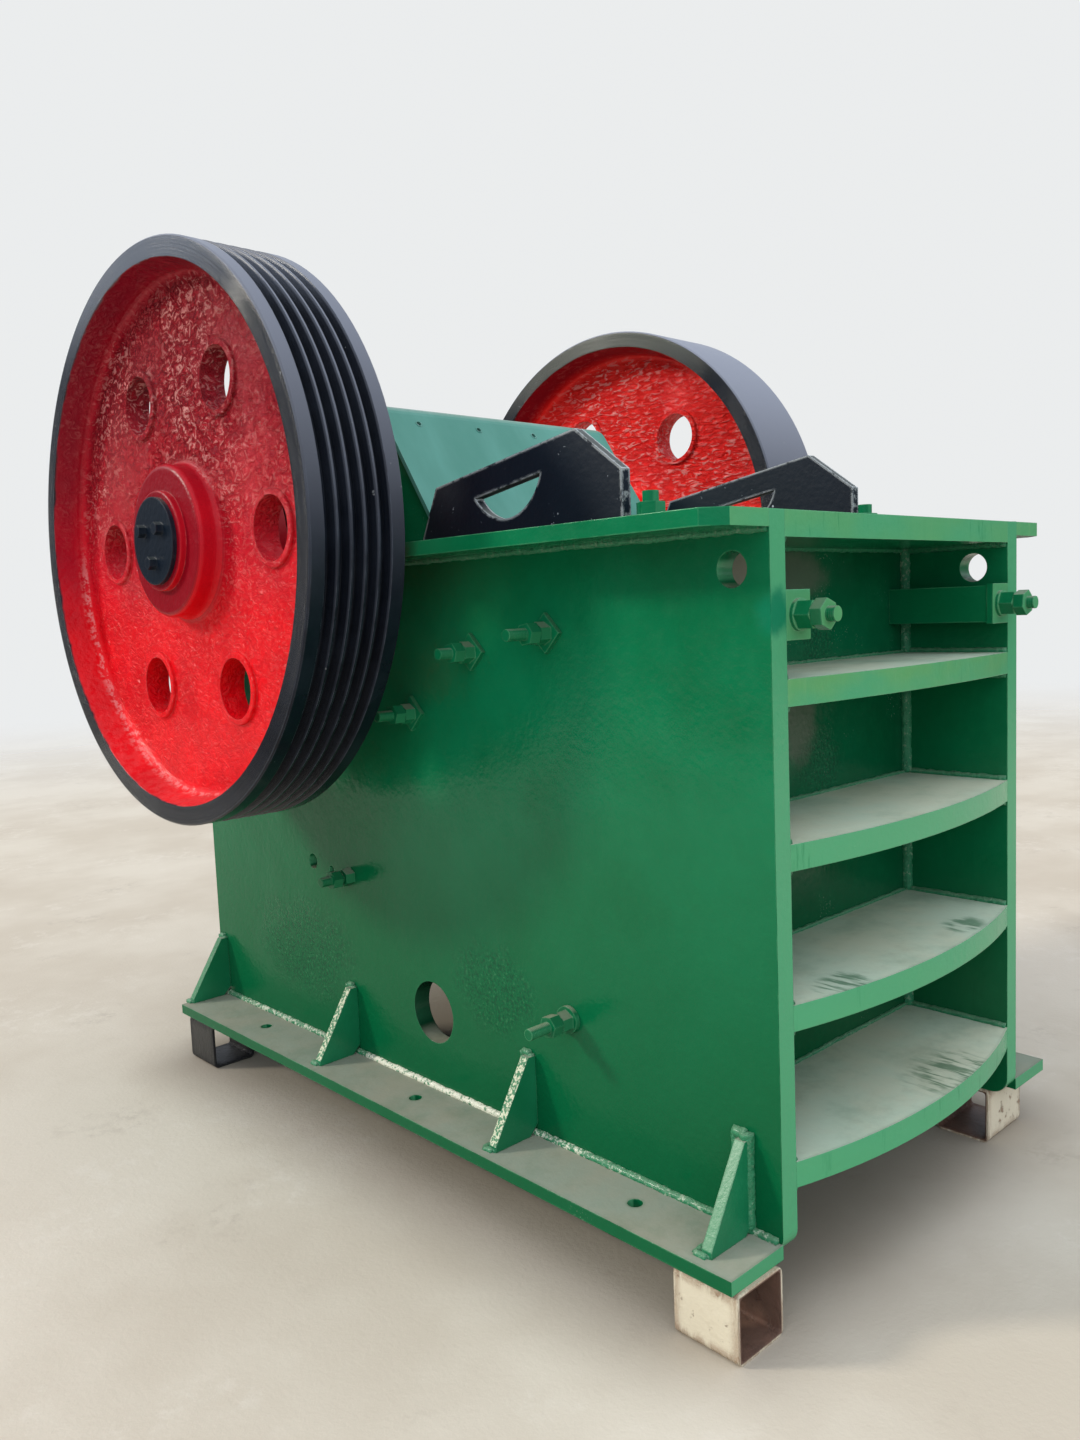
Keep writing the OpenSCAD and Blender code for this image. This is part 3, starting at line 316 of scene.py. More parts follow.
def weld_paint(name, bare=0.5, along=()):
    """Enamel over weld beads, worn through to pale speckles, most in the stretches named by along."""
    f = Finish(name)
    share = f.step(f.noise(3.2, 2, 0.5), 0.45, 0.60, 0.06, 0.27)
    for y, reach, most in along:
        here = f.step(f.off(f.axis(f.place, 1), at(0, y, 0).y), reach * 0.75, reach, 1.0, 0.0)
        share = f.calc("MAXIMUM", share, f.times(here, most))
    worn = f.step(f.calc("ADD", f.noise(105, 3, 0.65), f.times(share, 0.22)), 0.56, 0.66)
    colour = f.blend(f.noise(30, 3, 0.6), (0.010, 0.15, 0.06), (0.04, 0.26, 0.12))
    colour = f.blend(f.times(f.upward(0.1, 0.8), 0.35), colour, (0.22, 0.31, 0.20))
    fully = f.calc("MINIMUM", f.calc("ADD", share, 0.35), 1.0)
    colour = f.blend(f.times(worn, bare, fully), colour, CREAM)
    bead = f.relief(f.noise(100, 3, 0.65), 0.006)
    return f.close(colour, 0.4, bead, coat=0.1)


def gusset_paint(name):
    """Gussets cut by flame: their sloping edges are rough and speckled cream, the front one smooth."""
    f = Finish(name)
    y = f.axis(f.place, 1)
    up = f.axis(f.normal, 2)
    slope = f.times(f.step(up, 0.25, 0.42), f.step(up, 0.75, 0.9, 1.0, 0.35))
    cut = f.times(slope, f.step(y, at(0, 300, 0).y, at(0, 500, 0).y))
    share = f.step(y, at(0, 1600, 0).y, at(0, 2250, 0).y, 0.24, 0.05)
    colour = f.blend(f.step(f.noise(4, 4, 0.6), 0.35, 0.65), (0.006, 0.150, 0.058), (0.012, 0.205, 0.085))
    colour = f.blend(f.times(slope, 0.85), colour, (0.075, 0.235, 0.115))
    speck = f.step(f.calc("ADD", f.noise(135, 3, 0.6), share), 0.70, 0.80)
    colour = f.blend(f.times(cut, speck, 0.95), colour, (0.70, 0.70, 0.50))
    rubbed = f.times(f.edges(0.005), f.step(f.noise(14, 4, 0.6), 0.38, 0.6), 0.6)
    colour = f.blend(rubbed, colour, (0.20, 0.46, 0.26))
    colour = f.blend(f.times(f.step(up, 0.9, 0.99), 0.7), colour, DUST)
    skin = f.relief(f.times(f.noise(120, 3, 0.65), f.calc("ADD", cut, 0.12)), 0.006, f.round_edges(0.005))
    return f.close(colour, 0.34, skin, coat=0.12)


# Colours of the wheels: the cast parts, then the turned rim
UPPER_SHADE_RED, TOP_SHADE_RED, BARREL_SHADE_RED = (0.22, 0.010, 0.028), (0.09, 0.005, 0.016), (0.060, 0.003, 0.014)
WRINKLE_SHADE_RED, WRINKLE_GLINT_PINK, HUB_SHADE_RED = (0.16, 0.004, 0.012), (0.92, 0.42, 0.38), (0.22, 0.001, 0.008)
GRIT_PINK, SEAM_PINK, RUBBED_RED = (0.66, 0.40, 0.37), (0.80, 0.45, 0.42), (0.80, 0.16, 0.15)
RIM_DEEP, RIM_LIGHT = (0.0035, 0.0055, 0.0105), (0.008, 0.011, 0.018)
TREAD_DUST_AND_SHEEN_GREY, WORN_GREY, NICK_GREY = (0.25, 0.265, 0.315), (0.20, 0.24, 0.30), (0.25, 0.26, 0.26)


def cast_red(f, r, height, line, reds, wrinkles, wild, shade_and_glints, barrel_shade_share):
    """Red enamel over the casting, wrinkled on the web: painted shade to the top, in the barrel, on the hub
    and in the creases, painted glints on the ridges.
    """
    up = f.axis(f.normal, 2)
    # Shares of the painted glints: most on the upper web, in patches.
    pale = f.times(wild, f.step(height, -0.45, 0.05, 0.25, 1.0))
    bloom = f.step(f.noise(2.8, 3, 0.6), 0.40, 0.58, 0.25, 1.0)
    red = f.blend(f.step(f.noise(5, 4, 0.6), 0.3, 0.7), *reds)
    # Painted shade: the upper half of the wheel is darker, most near the top.
    red = f.blend(f.times(f.step(height, -0.34, 0.0), shade_and_glints), red, UPPER_SHADE_RED)
    red = f.blend(f.times(f.step(height, 0.0, 0.65), shade_and_glints), red, TOP_SHADE_RED)
    # Painted shade inside the barrel, most towards its top.
    inside = f.step(r, BARREL_R - 0.004, BARREL_R + 0.010)
    inside = f.times(inside, f.step(height, -0.5, 0.25, 0.35, 1.0), barrel_shade_share)
    red = f.blend(inside, red, BARREL_SHADE_RED)
    # Painted shade in the creases of the wrinkles, then painted glints on their ridges.
    red = f.blend(f.times(wild, f.step(wrinkles, 0.50, 0.38), 0.12 + 1.2 * shade_and_glints), red, WRINKLE_SHADE_RED)
    red = f.blend(f.times(pale, bloom, f.step(wrinkles, 0.52, 0.62), 0.62 + shade_and_glints / 3), red, WRINKLE_GLINT_PINK)
    # Painted shade on the hub's outward and upward faces.
    outward = f.step(f.axis(f.normal, 0), -0.95, -0.6, 0.95, 0.0)
    shaded = f.calc("MAXIMUM", outward, f.step(up, 0.0, 0.8, 0.0, 0.32))
    on_hub = f.step(r, HUB_R + 0.003, HUB_R + 0.023, 1.0, 0.0)
    red = f.blend(f.times(on_hub, shaded, 2.38 * shade_and_glints), red, HUB_SHADE_RED)
    grit = f.times(f.step(up, 0.25, 0.9), f.step(f.noise(38, 5, 0.7), 0.36, 0.60, 0.2, 1.0))
    red = f.blend(f.times(grit, f.step(r, BARREL_R - 0.023, BARREL_R + 0.012), 0.07), red, GRIT_PINK)
    corner = f.step(f.off(line, BARREL_R), 0.002, 0.006, 1.0, 0.0)
    seam = f.times(corner, f.step(f.noise(55, 4, 0.7), 0.46, 0.56), f.step(height, -0.15, 0.1, 1.0, 0.0))
    red = f.blend(f.times(seam, 0.32), red, SEAM_PINK)
    rubbed = f.times(f.edges(0.006, 0.02, 0.2), f.step(f.noise(30, 4, 0.6), 0.4, 0.6))
    return f.blend(f.times(rubbed, 0.35), red, RUBBED_RED)


def wheel_paint(name, reds, tread_dust_and_sheen, ring_dust_and_sheen_tint, shade_and_glints, ripple, warp, barrel_shade_share):
    """Red enamel over a rough casting, black on the turned rim with dust and painted sky sheen, dust where
    grit settles.
    """
    f = Finish(name)
    r = f.reach(tuple(SHAFT * Vector((0, 1, 1))), (0, 1, 1))
    height = f.calc("DIVIDE", f.calc("SUBTRACT", f.axis(f.place, 2), SHAFT.z), WHEEL_R)
    up = f.axis(f.normal, 2)
    line = f.calc("ADD", r, f.times(f.calc("SUBTRACT", f.noise(14, 3, 0.6), 0.5), 0.005))
    turned = f.step(line, BLACK_FROM_R, BLACK_FROM_R + 0.002)
    outer = f.step(r, WHEEL_R - 0.0075, WHEEL_R - 0.003)
    upper = f.step(height, -0.25, 0.35)
    past_hub = f.step(r, HUB_R - 0.002, HUB_R + 0.033)
    web = f.times(past_hub, f.step(r, BARREL_R - 0.028, BARREL_R + 0.007, 1.0, 0.10))
    patchy = f.step(f.noise(2.6, 3, 0.6), 0.36, 0.58, 0.45, 1.0)
    wild = f.times(web, f.calc("MAXIMUM", f.times(upper, patchy), 0.22))
    wrinkles = f.noise(1.0, 4, 0.62, warp, place=f.stretched(*ripple))
    red = cast_red(f, r, height, line, reds, wrinkles, wild, shade_and_glints, barrel_shade_share)

    rings = f.add("ShaderNodeTexNoise", noise_dimensions="1D")
    f.plug(rings.inputs["W"], f.times(r, 420.0))
    rings.inputs["Detail"].default_value = 3
    ringed = rings.outputs["Fac"]
    flat = f.times(turned, f.less(outer))
    black = f.blend(f.step(f.noise(9, 4, 0.6), 0.35, 0.7), RIM_DEEP, RIM_LIGHT)
    # Dust and painted sky sheen on the top of the turned ring face.
    ring_dust_and_sheen = f.times(flat, f.step(height, 0.62, 1.0), f.step(ringed, 0.3, 0.7, 0.45, 1.0))
    black = f.blend(ring_dust_and_sheen, black, ring_dust_and_sheen_tint)
    # Dust and painted sky sheen on the tread's upward faces.
    film = f.times(outer, f.step(up, -0.35, 0.85), tread_dust_and_sheen)
    black = f.blend(film, black, TREAD_DUST_AND_SHEEN_GREY)
    worn = f.times(outer, f.edges(0.004, 0.02, 0.2), f.step(f.noise(20, 4, 0.6), 0.35, 0.6), 0.35)
    black = f.blend(worn, black, WORN_GREY)
    nicks = f.times(f.step(f.noise(46, 2, 0.5), 0.755, 0.77), turned, 0.6)
    black = f.blend(nicks, black, NICK_GREY)

    cast = f.less(turned)
    skin = f.relief(f.times(wrinkles, wild, cast), 0.035, f.round_edges(0.004))
    skin = f.relief(f.times(f.noise(26, 3, 0.6), cast), 0.0035, skin)
    skin = f.relief(f.times(ringed, flat), 0.0008, skin)
    boss = f.step(r, HUB_R - 0.002, HUB_R + 0.038, 0.34, 0.13)
    rough = f.blend(turned, boss, f.blend(film, (0.20, 0.20, 0.20), (0.45, 0.45, 0.45)))
    gloss = f.calc("ADD", f.times(upper, web, 0.16), 0.16)
    shine = f.calc("ADD", f.times(gloss, cast), f.times(turned, 0.22))
    return f.close(f.blend(turned, red, black), rough, skin, shine=shine)


def black_enamel(name, worn=0.5, rough=0.42, dust=0.25):
    """Satin black, rubbed to pale metal along its edges, with a few nicks."""
    f = Finish(name)
    colour = f.blend(f.noise(6, 4, 0.6), (0.0030, 0.0060, 0.0120), (0.007, 0.014, 0.024))
    top = f.step(f.axis(f.normal, 2), 0.25, 0.6, 0.55, 1.0)
    rubbed = f.times(f.edges(0.011, 0.01, 0.06), f.step(f.noise(26, 5, 0.7), 0.36, 0.50), top)
    colour = f.blend(f.times(rubbed, worn), colour, (0.72, 0.76, 0.76))
    blots = f.times(f.forward(), f.step(f.noise(34, 4, 0.7), 0.50, 0.62), worn)
    colour = f.blend(f.times(blots, 0.6), colour, (0.40, 0.43, 0.42))
    nicks = f.times(f.step(f.noise(85, 2, 0.5), 0.715, 0.735), f.step(f.noise(5, 2, 0.5), 0.5, 0.6))
    colour = f.blend(f.times(nicks, worn), colour, (0.42, 0.46, 0.50))
    colour = f.blend(f.times(f.upward(), dust), colour, DUST)
    skin = f.relief(f.noise(60, 3, 0.5), 0.0008, f.round_edges(0.003))
    return f.close(colour, rough, skin, shine=0.22)


def guard_paint(name):
    """Pale green satin paint on thin sheet, faintly streaked by dust."""
    f = Finish(name)
    soft = f.step(f.noise(1.0, 4, 0.6, place=f.stretched(5, 1.3, 1.3)), 0.35, 0.7)
    colour = f.blend(soft, (0.060, 0.240, 0.180), (0.090, 0.300, 0.235))
    colour = f.blend(f.times(f.upward(0.7, 1.0), 0.4), colour, DUST)
    rubbed = f.times(f.edges(0.004), f.step(f.noise(14, 4, 0.6), 0.4, 0.6), 0.5)
    colour = f.blend(rubbed, colour, (0.35, 0.55, 0.48))
    skin = f.relief(f.noise(3.5, 2, 0.5), 0.006, f.round_edges(0.002))
    return f.close(colour, f.step(f.noise(12, 3, 0.6), 0.3, 0.7, 0.36, 0.5), skin, coat=0.06)


def worn_steel(name, light, dark, rough=(0.3, 0.55), rust=0.2, lumps=0.0, oil=0.0):
    """Unpainted metal with brown bloom, and a rough cast skin where it has lumps."""
    f = Finish(name)
    colour = f.blend(f.noise(24, 5, 0.65), dark, light)
    bloom = f.times(f.step(f.noise(7, 5, 0.7), 0.48, 0.62), rust)
    colour = f.blend(bloom, colour, (0.20, 0.085, 0.035))
    colour = f.blend(f.times(f.upward(), 0.35), colour, DUST)
    skin = f.relief(f.noise(45, 4, 0.6), 0.001 + lumps, f.round_edges(0.003))
    f.shader.inputs["Metallic"].default_value = 0.55
    return f.close(colour, f.step(f.noise(16, 4, 0.6), 0.3, 0.7, *rough), skin, coat=oil)


def old_cream(name):
    """Old cream paint on square tube, brown down its corners and in its bore.

    The front right tube lies across the others, and the left rear one is black.
    """
    f = Finish(name)
    x, y, z = (f.axis(f.place, i) for i in range(3))
    colour = f.blend(f.noise(9, 4, 0.6), (0.60, 0.53, 0.39), (0.70, 0.64, 0.49))
    streaks = f.noise(1.0, 5, 0.7, place=f.stretched(42, 42, 7))
    corner = f.times(f.edges(0.032, 0.0, 0.05), f.step(streaks, 0.36, 0.53))
    flakes = f.step(f.noise(33, 5, 0.7), 0.61, 0.67)
    rust = f.calc("MAXIMUM", corner, f.times(flakes, 0.8))
    tone = f.blend(f.noise(40, 4, 0.7), (0.10, 0.040, 0.022), (0.34, 0.19, 0.10))
    colour = f.blend(f.times(rust, 0.9), colour, tone)
    across = f.off(f.calc("ABSOLUTE", x), TUBE_X)
    along = f.off(y, TUBE_Y)
    lies_across = f.times(f.step(x, 0.0, 0.01), f.step(y, -END_Y, -END_Y + 0.01, 1.0, 0.0))
    sideways = f.calc("ADD", f.times(along, lies_across), f.times(across, f.less(lies_across)))
    upright = f.off(z, TUBE_HALF)
    bore = f.step(f.calc("MAXIMUM", sideways, upright), TUBE_HALF - 0.006, TUBE_HALF - 0.004, 1.0, 0.0)
    rusty = f.blend(f.noise(22, 4, 0.65), (0.055, 0.028, 0.022), (0.19, 0.095, 0.062))
    colour = f.blend(f.times(bore, 0.96), colour, rusty)
    left_rear = f.times(f.step(y, END_Y, END_Y + 0.02), f.step(x, -0.01, 0.0, 1.0, 0.0))
    colour = f.blend(f.times(left_rear, 0.97), colour, (0.008, 0.010, 0.013))
    skin = f.relief(f.calc("ADD", f.noise(60, 4, 0.6), f.times(rust, 0.8)), 0.0022, f.round_edges(0.004))
    return f.close(colour, f.step(rust, 0.0, 1.0, 0.45, 0.85), skin)


# The low round hole through the side plates: its middle in drawing millimetres and its radius in metres
ACCESS_HOLE = ((0, 1115, 240), 0.084)
plate_green = green_enamel("plate_green", dust=0.6, front=0.95, bore=ACCESS_HOLE,
    rough_spots=(((-PLATE_X, 1760, 300), 0.27, (1, 0.8, 1.4)), ((-PLATE_X, 860, 360), 0.17, (1, 0.9, 1.2))),
    dirt=(((-PLATE_X + 20, 0, FRAME_H - 195), 0.055, (1, 1, 1), FRESH_GREEN, 0.9),))
# The walls at the back of the compartments are darkened by depth as painted shade.
wall_green = green_enamel("wall_green", dust=0.6, chips=0.5, depth=0.62,
    rough_spots=(((60, 280, 905), 0.12, (1, 1, 1)), ((60, 280, 1215), 0.09, (1, 1, 1))),
    dirt=(((-90, 280, 1366), 0.16, (0.7, 1, 2.2), BROWN, 0.6),
        ((-230, 280, 1376), 0.10, (1, 1, 1), BUFF, 0.8),
        ((-20, 280, 1010), 0.09, (1, 1, 0.8), BROWN, 0.6)))
shelf_green = green_enamel("shelf_green", dust=1.0, chips=0.15, front=1.0, strokes=0.9, film_tint=SHELF_DUST,
    swept=(((130, -25, 184), 0.17, (1, 1.6, 1)), ((-300, -5, 508), 0.10, (1, 1.6, 1)),
        ((250, 5, 508), 0.08, (1, 1.6, 1))))
flange_green = green_enamel("flange_green", dust=0.97, chips=0.4, front=0.8, lift=0.1, film_tint=SHADED_FLANGE_DUST)
top_green = green_enamel("top_green", dust=0.66, front=1.0, strokes=0.45, lift=0.3)
fitting_green = green_enamel("fitting_green", dust=0.6, lift=0.2, front=0.3)
clamp_green = green_enamel("clamp_green", dust=0.6, lift=0.15, front=0.8, strokes=0.6)
cast_green = green_enamel("cast_green", dust=0.7, chips=0.2, front=0.4)
gusset_green = gusset_paint("gusset_green")
guard_green = guard_paint("guard_green")
# One red paint on both wheels: the far wheel's brighter reds are painted light.
near_wheel_paint = wheel_paint("near_wheel_paint", reds=((0.64, 0.002, 0.006), (0.84, 0.003, 0.008)),
    tread_dust_and_sheen=0.72, ring_dust_and_sheen_tint=(0.150, 0.172, 0.215), shade_and_glints=0.42, ripple=(44, 34, 52), warp=1.4, barrel_shade_share=0.45)
far_wheel_paint = wheel_paint("far_wheel_paint", reds=((0.86, 0.012, 0.010), (0.96, 0.022, 0.016)),
    tread_dust_and_sheen=0.95, ring_dust_and_sheen_tint=(0.125, 0.130, 0.105), shade_and_glints=0.0, ripple=(58, 25, 78), warp=0.7, barrel_shade_share=0.8)
cheek_black = black_enamel("cheek_black", worn=1.0)
cover_black = black_enamel("cover_black", worn=0.3, rough=0.32)
disc_black = black_enamel("disc_black", worn=0.03, rough=0.3, dust=0.1)
jaw_steel = worn_steel("jaw_steel", (0.30, 0.28, 0.26), (0.14, 0.13, 0.12), rust=0.6, lumps=0.004)
shaft_steel = worn_steel("shaft_steel", (0.42, 0.41, 0.39), (0.24, 0.23, 0.22), rough=(0.2, 0.4), rust=0.15,
    oil=0.3)
tube_cream = old_cream("tube_cream")
flange_weld_paint = weld_paint("flange_weld_paint", bare=1.0,
    along=((1110, 0.37, 0.85), (640, 0.10, 0.40), (1850, 0.36, 0.35)))
corner_weld_paint = weld_paint("corner_weld_paint", bare=0.45)
calm_weld_paint = weld_paint("calm_weld_paint", bare=0.2)

# Each node's name starts with one of these words
FINISH_OF = {
    "side_plate": plate_green, "front_wall": wall_green, "front_top_plate": top_green,
    "front_rib": shelf_green, "top_flange": top_green, "base_flange": flange_green,
    "gussets": gusset_green, "rear_wall": wall_green, "rear_ribs": shelf_green,
    "bearing_seat": cast_green, "bearing_cap": cast_green, "bearing_left": cover_black,
    "bearing_right": cover_black, "cheek": cheek_black, "fixed_jaw": jaw_steel,
    "jaw_clamps": fitting_green, "clamp_bar": clamp_green, "side_studs": fitting_green,
    "support_tubes": tube_cream, "adjusting": cast_green, "toggle": jaw_steel,
    "tension_spring": cover_black, "eccentric": shaft_steel, "grooved": near_wheel_paint,
    "plain": far_wheel_paint, "end_disc": disc_black, "pitman": cast_green,
    "guard": guard_green, "moving_jaw": jaw_steel, "tension_rod": shaft_steel,
}
for node_name, solid in solids.items():
    finish = [paint for start, paint in FINISH_OF.items() if node_name.startswith(start)][0]
    for slot in solid.material_slots:
        slot.material = finish


# Making pieces

def clear_selection():
    bpy.ops.object.select_all(action="DESELECT")


def settle(piece, name, paint, body="frame"):
    """Names a finished piece, puts its place into its mesh, paints it and lets it ride."""
    clear_selection()
    piece.select_set(True)
    bpy.context.view_layer.objects.active = piece
    bpy.ops.object.transform_apply(location=True, rotation=True, scale=True)
    piece.name = piece.data.name = name
    piece.data.materials.clear()
    piece.data.materials.append(paint)
    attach(piece, body)


def join(pieces):
    clear_selection()
    for piece in pieces:
        piece.select_set(True)
    bpy.context.view_layer.objects.active = pieces[0]
    bpy.ops.object.join()
    return pieces[0]


def turn_to(direction):
    return Vector(direction).to_track_quat("Z", "Y").to_euler()


def pick(piece, kind, wanted):
    """Goes into edit mode and selects the faces, edges or points of a piece that wanted is true for."""
    bpy.ops.object.mode_set(mode="EDIT")
    bpy.ops.mesh.select_mode(type=kind)
    bpy.ops.mesh.select_all(action="DESELECT")
    mesh = bmesh.from_edit_mesh(piece.data)
    for part in {"FACE": mesh.faces, "EDGE": mesh.edges, "VERT": mesh.verts}[kind]:
        part.select = wanted(part)
    mesh.select_flush_mode()
    bmesh.update_edit_mesh(piece.data)


# Rings of welds and threads: the most in one rod, their distance in metres, and how far in a root lies
MOST_CUTS = 99
BEAD_STEP, THREAD_PITCH = 0.009, 0.0042
THREAD_ROOT = 0.87


def ringed_rod(middle, direction, r, length, sides, cuts):
    """A rod cut into short rings, left in edit mode."""
    clear_selection()
    bpy.ops.mesh.primitive_cylinder_add(vertices=sides, radius=r, depth=length, end_fill_type="TRIFAN",
        location=middle, rotation=turn_to(direction))
    rod = bpy.context.object
    pick(rod, "EDGE", lambda edge: abs(edge.verts[0].co.z - edge.verts[1].co.z) > length / 2)
    bpy.ops.mesh.subdivide(number_cuts=min(MOST_CUTS, cuts))
    return rod


def bead(a, b, r):
    """One run of weld from a to b, in rings that the ripple later swells."""
    run = b - a
    rod = ringed_rod((a + b) / 2, run, r, run.length, 8, max(2, int(run.length / BEAD_STEP)))
    bpy.ops.object.mode_set(mode="OBJECT")
    return rod


def runs(a, b, r, longest=0.8):
    """A long seam, laid as several beads end to end."""
    n = max(1, math.ceil((b - a).length / longest))
    return [bead(a.lerp(b, i / n), a.lerp(b, (i + 1) / n), r) for i in range(n)]


def seam(a, b, r, longest=0.8):
    """The same between two places in drawing millimetres. The radius of the bead is in metres."""
    return runs(at(*a), at(*b), r, longest)


def weld(name, beads, paint):
    piece = join(beads)
    bpy.ops.object.transform_apply(location=True, rotation=True, scale=True)
    ripple = bpy.data.textures.new("weld_ripple", "CLOUDS")
    ripple.noise_scale = 0.014
    lay = piece.modifiers.new("ripple", "DISPLACE")
    lay.texture = ripple
    lay.texture_coords = "LOCAL"
    lay.strength = 0.007
    bpy.ops.object.modifier_apply(modifier=lay.name)
    bpy.ops.object.shade_smooth()
    settle(piece, name, paint)


def thread(foot, direction, r, length):
    """The threaded end of a stud: every second ring is drawn in to the root of the thread."""
    turns = int(length / THREAD_PITCH)
    run = Vector(direction).normalized() * length
    rod = ringed_rod(foot + run / 2, run, r, length, 20, 2 * turns - 1)
    pick(rod, "VERT", lambda vert: round((vert.co.z / length + 0.5) * 2 * turns) % 2 == 0)
    squeeze = [1 if abs(c) > 0.5 else THREAD_ROOT for c in Vector(direction).normalized()]
    bpy.ops.transform.resize(value=squeeze, center_override=rod.location)
    bpy.ops.object.mode_set(mode="OBJECT")
    return rod


def hex_head(place, direction, flats, height):
    """A hexagon bolt head with a chamfered crown that is slightly sunk on top."""
    clear_selection()
    run = Vector(direction).normalized()
    bpy.ops.mesh.primitive_cylinder_add(vertices=6, radius=flats / 2 / math.cos(math.pi / 6), depth=height,
        location=place + run * height / 2, rotation=turn_to(run))
    head = bpy.context.object
    pick(head, "FACE", lambda face: face.normal.z > 0.9)
    bpy.ops.mesh.inset(thickness=flats * 0.12, depth=height * 0.16)
    bpy.ops.mesh.inset(thickness=flats * 0.16, depth=-height * 0.05)
    bpy.ops.object.mode_set(mode="OBJECT")
    return head


def bored_ring(place, direction, r_in, r_out, height):
    """A thin ring: both ends of a disc are inset and joined through it."""
    clear_selection()
    bpy.ops.mesh.primitive_cylinder_add(vertices=24, radius=r_out, depth=height, location=place,
        rotation=turn_to(direction))
    ring = bpy.context.object
    pick(ring, "FACE", lambda face: abs(face.normal.z) > 0.9)
    bpy.ops.mesh.inset(thickness=r_out - r_in, depth=0)
    bpy.ops.mesh.bridge_edge_loops()
    bpy.ops.object.mode_set(mode="OBJECT")
    return ring


# Weld seams of the side plates

GUSSET_TOP = FLANGE_T + GUSSET_H
SEAM_FROM, SEAM_TO, SHORTEST = 10, 2290, 20
UNDER_TOP_FLANGE, TOP_FLANGE_END = FRAME_H - TOP_FLANGE_T - 1, 1352
for s, side in SIDES:
    face = s * (PLATE_X + 3)
    stops = [SEAM_FROM] + [y + k for y in GUSSETS for k in (0, GUSSET_T)] + [SEAM_TO]
    seams = []
    for start, stop in zip(stops[::2], stops[1::2]):
        if stop - start > SHORTEST:
            seams += seam((face, start, FLANGE_T + 3), (face, stop, FLANGE_T + 3), 0.0100)
    weld("flange_weld_" + side, seams, flange_weld_paint)

    snipe, toe = s * (PLATE_X + SNIPE), s * (PLATE_X + GUSSET_FOOT + 2)
    end, head = s * (PLATE_X + GUSSET_FOOT + 1), s * (PLATE_X + 2)
    seams = []
    for y in GUSSETS:
        for edge in (y - 1, y + GUSSET_T + 1):
            seams += seam((face, edge, FLANGE_T + SNIPE), (face, edge, GUSSET_TOP + 4), 0.0095)
            seams += seam((snipe, edge, FLANGE_T + 1), (toe, edge, FLANGE_T + 1), 0.008)
        seams += seam((end, y - 2, FLANGE_T + 1), (end, y + GUSSET_T + 2, FLANGE_T + 1), 0.009)
        seams += seam((head, y, GUSSET_TOP + 2), (head, y + GUSSET_T, GUSSET_TOP + 2), 0.010)
    weld("gusset_welds_" + side, seams, calm_weld_paint)

    front = GUSSETS[0] - 3
    seams = seam((s * (PLATE_X + 4), front, FLANGE_T + 4), (face, front, GUSSET_TOP + 14), 0.0165)
    seams += seam((head, front, GUSSET_TOP + 5), (head, front + GUSSET_T + 8, GUSSET_TOP + 5), 0.0125)
    weld("front_gusset_bead_" + side, seams, calm_weld_paint)

    seams = seam((face, 4, UNDER_TOP_FLANGE), (face, TOP_FLANGE_END, UNDER_TOP_FLANGE), 0.009)
    seams += seam((s * PLATE_X, 2, FRAME_H - 3), (s * PLATE_X, TOP_FLANGE_END, FRAME_H - 3), 0.0045)
    weld("top_flange_weld_" + side, seams, calm_weld_paint)


# Weld seams inside the four compartments of the front, and of the rear wall

def bay(i):
    """Heights of the top and the foot of a compartment, counted from above."""
    return FRAME_H - i * RIB_PITCH - (RIB_T if i else TOP_T), FRAME_H - (i + 1) * RIB_PITCH


seams, corners = [], []
for s, side in SIDES:
    inner = s * (INNER_X + 1)
    levels = [(FRAME_H - TOP_T, -1)]
    for i in range(1, 5):
        levels += [(FRAME_H - i * RIB_PITCH, 1), (FRAME_H - i * RIB_PITCH - RIB_T, -1)]
    for z, lift in levels:
        seams += seam((inner - s * 2, 3, z + lift * 2), (inner - s * 2, WALL_Y, z + lift * 2), 0.0095)
    for i in range(4):
        top, foot = bay(i)
        corners += seam((inner - s * 4, WALL_Y - 3, top), (inner - s * 4, WALL_Y - 3, foot), 0.0165)
weld("compartment_welds", seams, calm_weld_paint)
weld("wall_corner_welds", corners, corner_weld_paint)
seams = []
for i in range(4):
    top, foot = bay(i)
    for z in (top - 1, foot + 1):
        seams += seam((-INNER_X, WALL_Y - 1, z), (INNER_X, WALL_Y - 1, z), 0.0065, 0.5)
weld("rib_back_welds", seams, calm_weld_paint)

wall_low, wall_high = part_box("rear_wall")
seams = []
for s, side in SIDES:
    inner = s * (INNER_X - 1) / 1000
    for y in (wall_high.y + 0.001, wall_high.y - 0.041):
        seams += runs(Vector((inner, y, wall_low.z + 0.005)), Vector((inner, y, wall_high.z - 0.005)), 0.010)
weld("rear_wall_welds", seams, calm_weld_paint)


# Threads, screws and small fittings

# Studs of the side plates: y, z, and where the thread ends and starts outside the plate
STUDS = ((610, FRAME_H - 225, 129, 74), (880, FRAME_H - 268, 110, 74), (1135, FRAME_H - 429, 118, 74),
    (587, 351, 133, 74), (1481, 560, 102, 71))
for s, side in SIDES:
    rods = []
    for y, z, end, start in STUDS:
        rods.append(thread(at(s * (PLATE_X + start), y, z), (s, 0, 0), 0.0142, (end - start - 0.5) / 1000))
    settle(join(rods), "stud_threads_" + side, fitting_green)
    rod = thread(at(s * (INNER_X - 41), -69, FRAME_H - 201), (0, -1, 0), 0.0155, 0.0176)
    settle(rod, "clamp_thread_" + side, fitting_green)

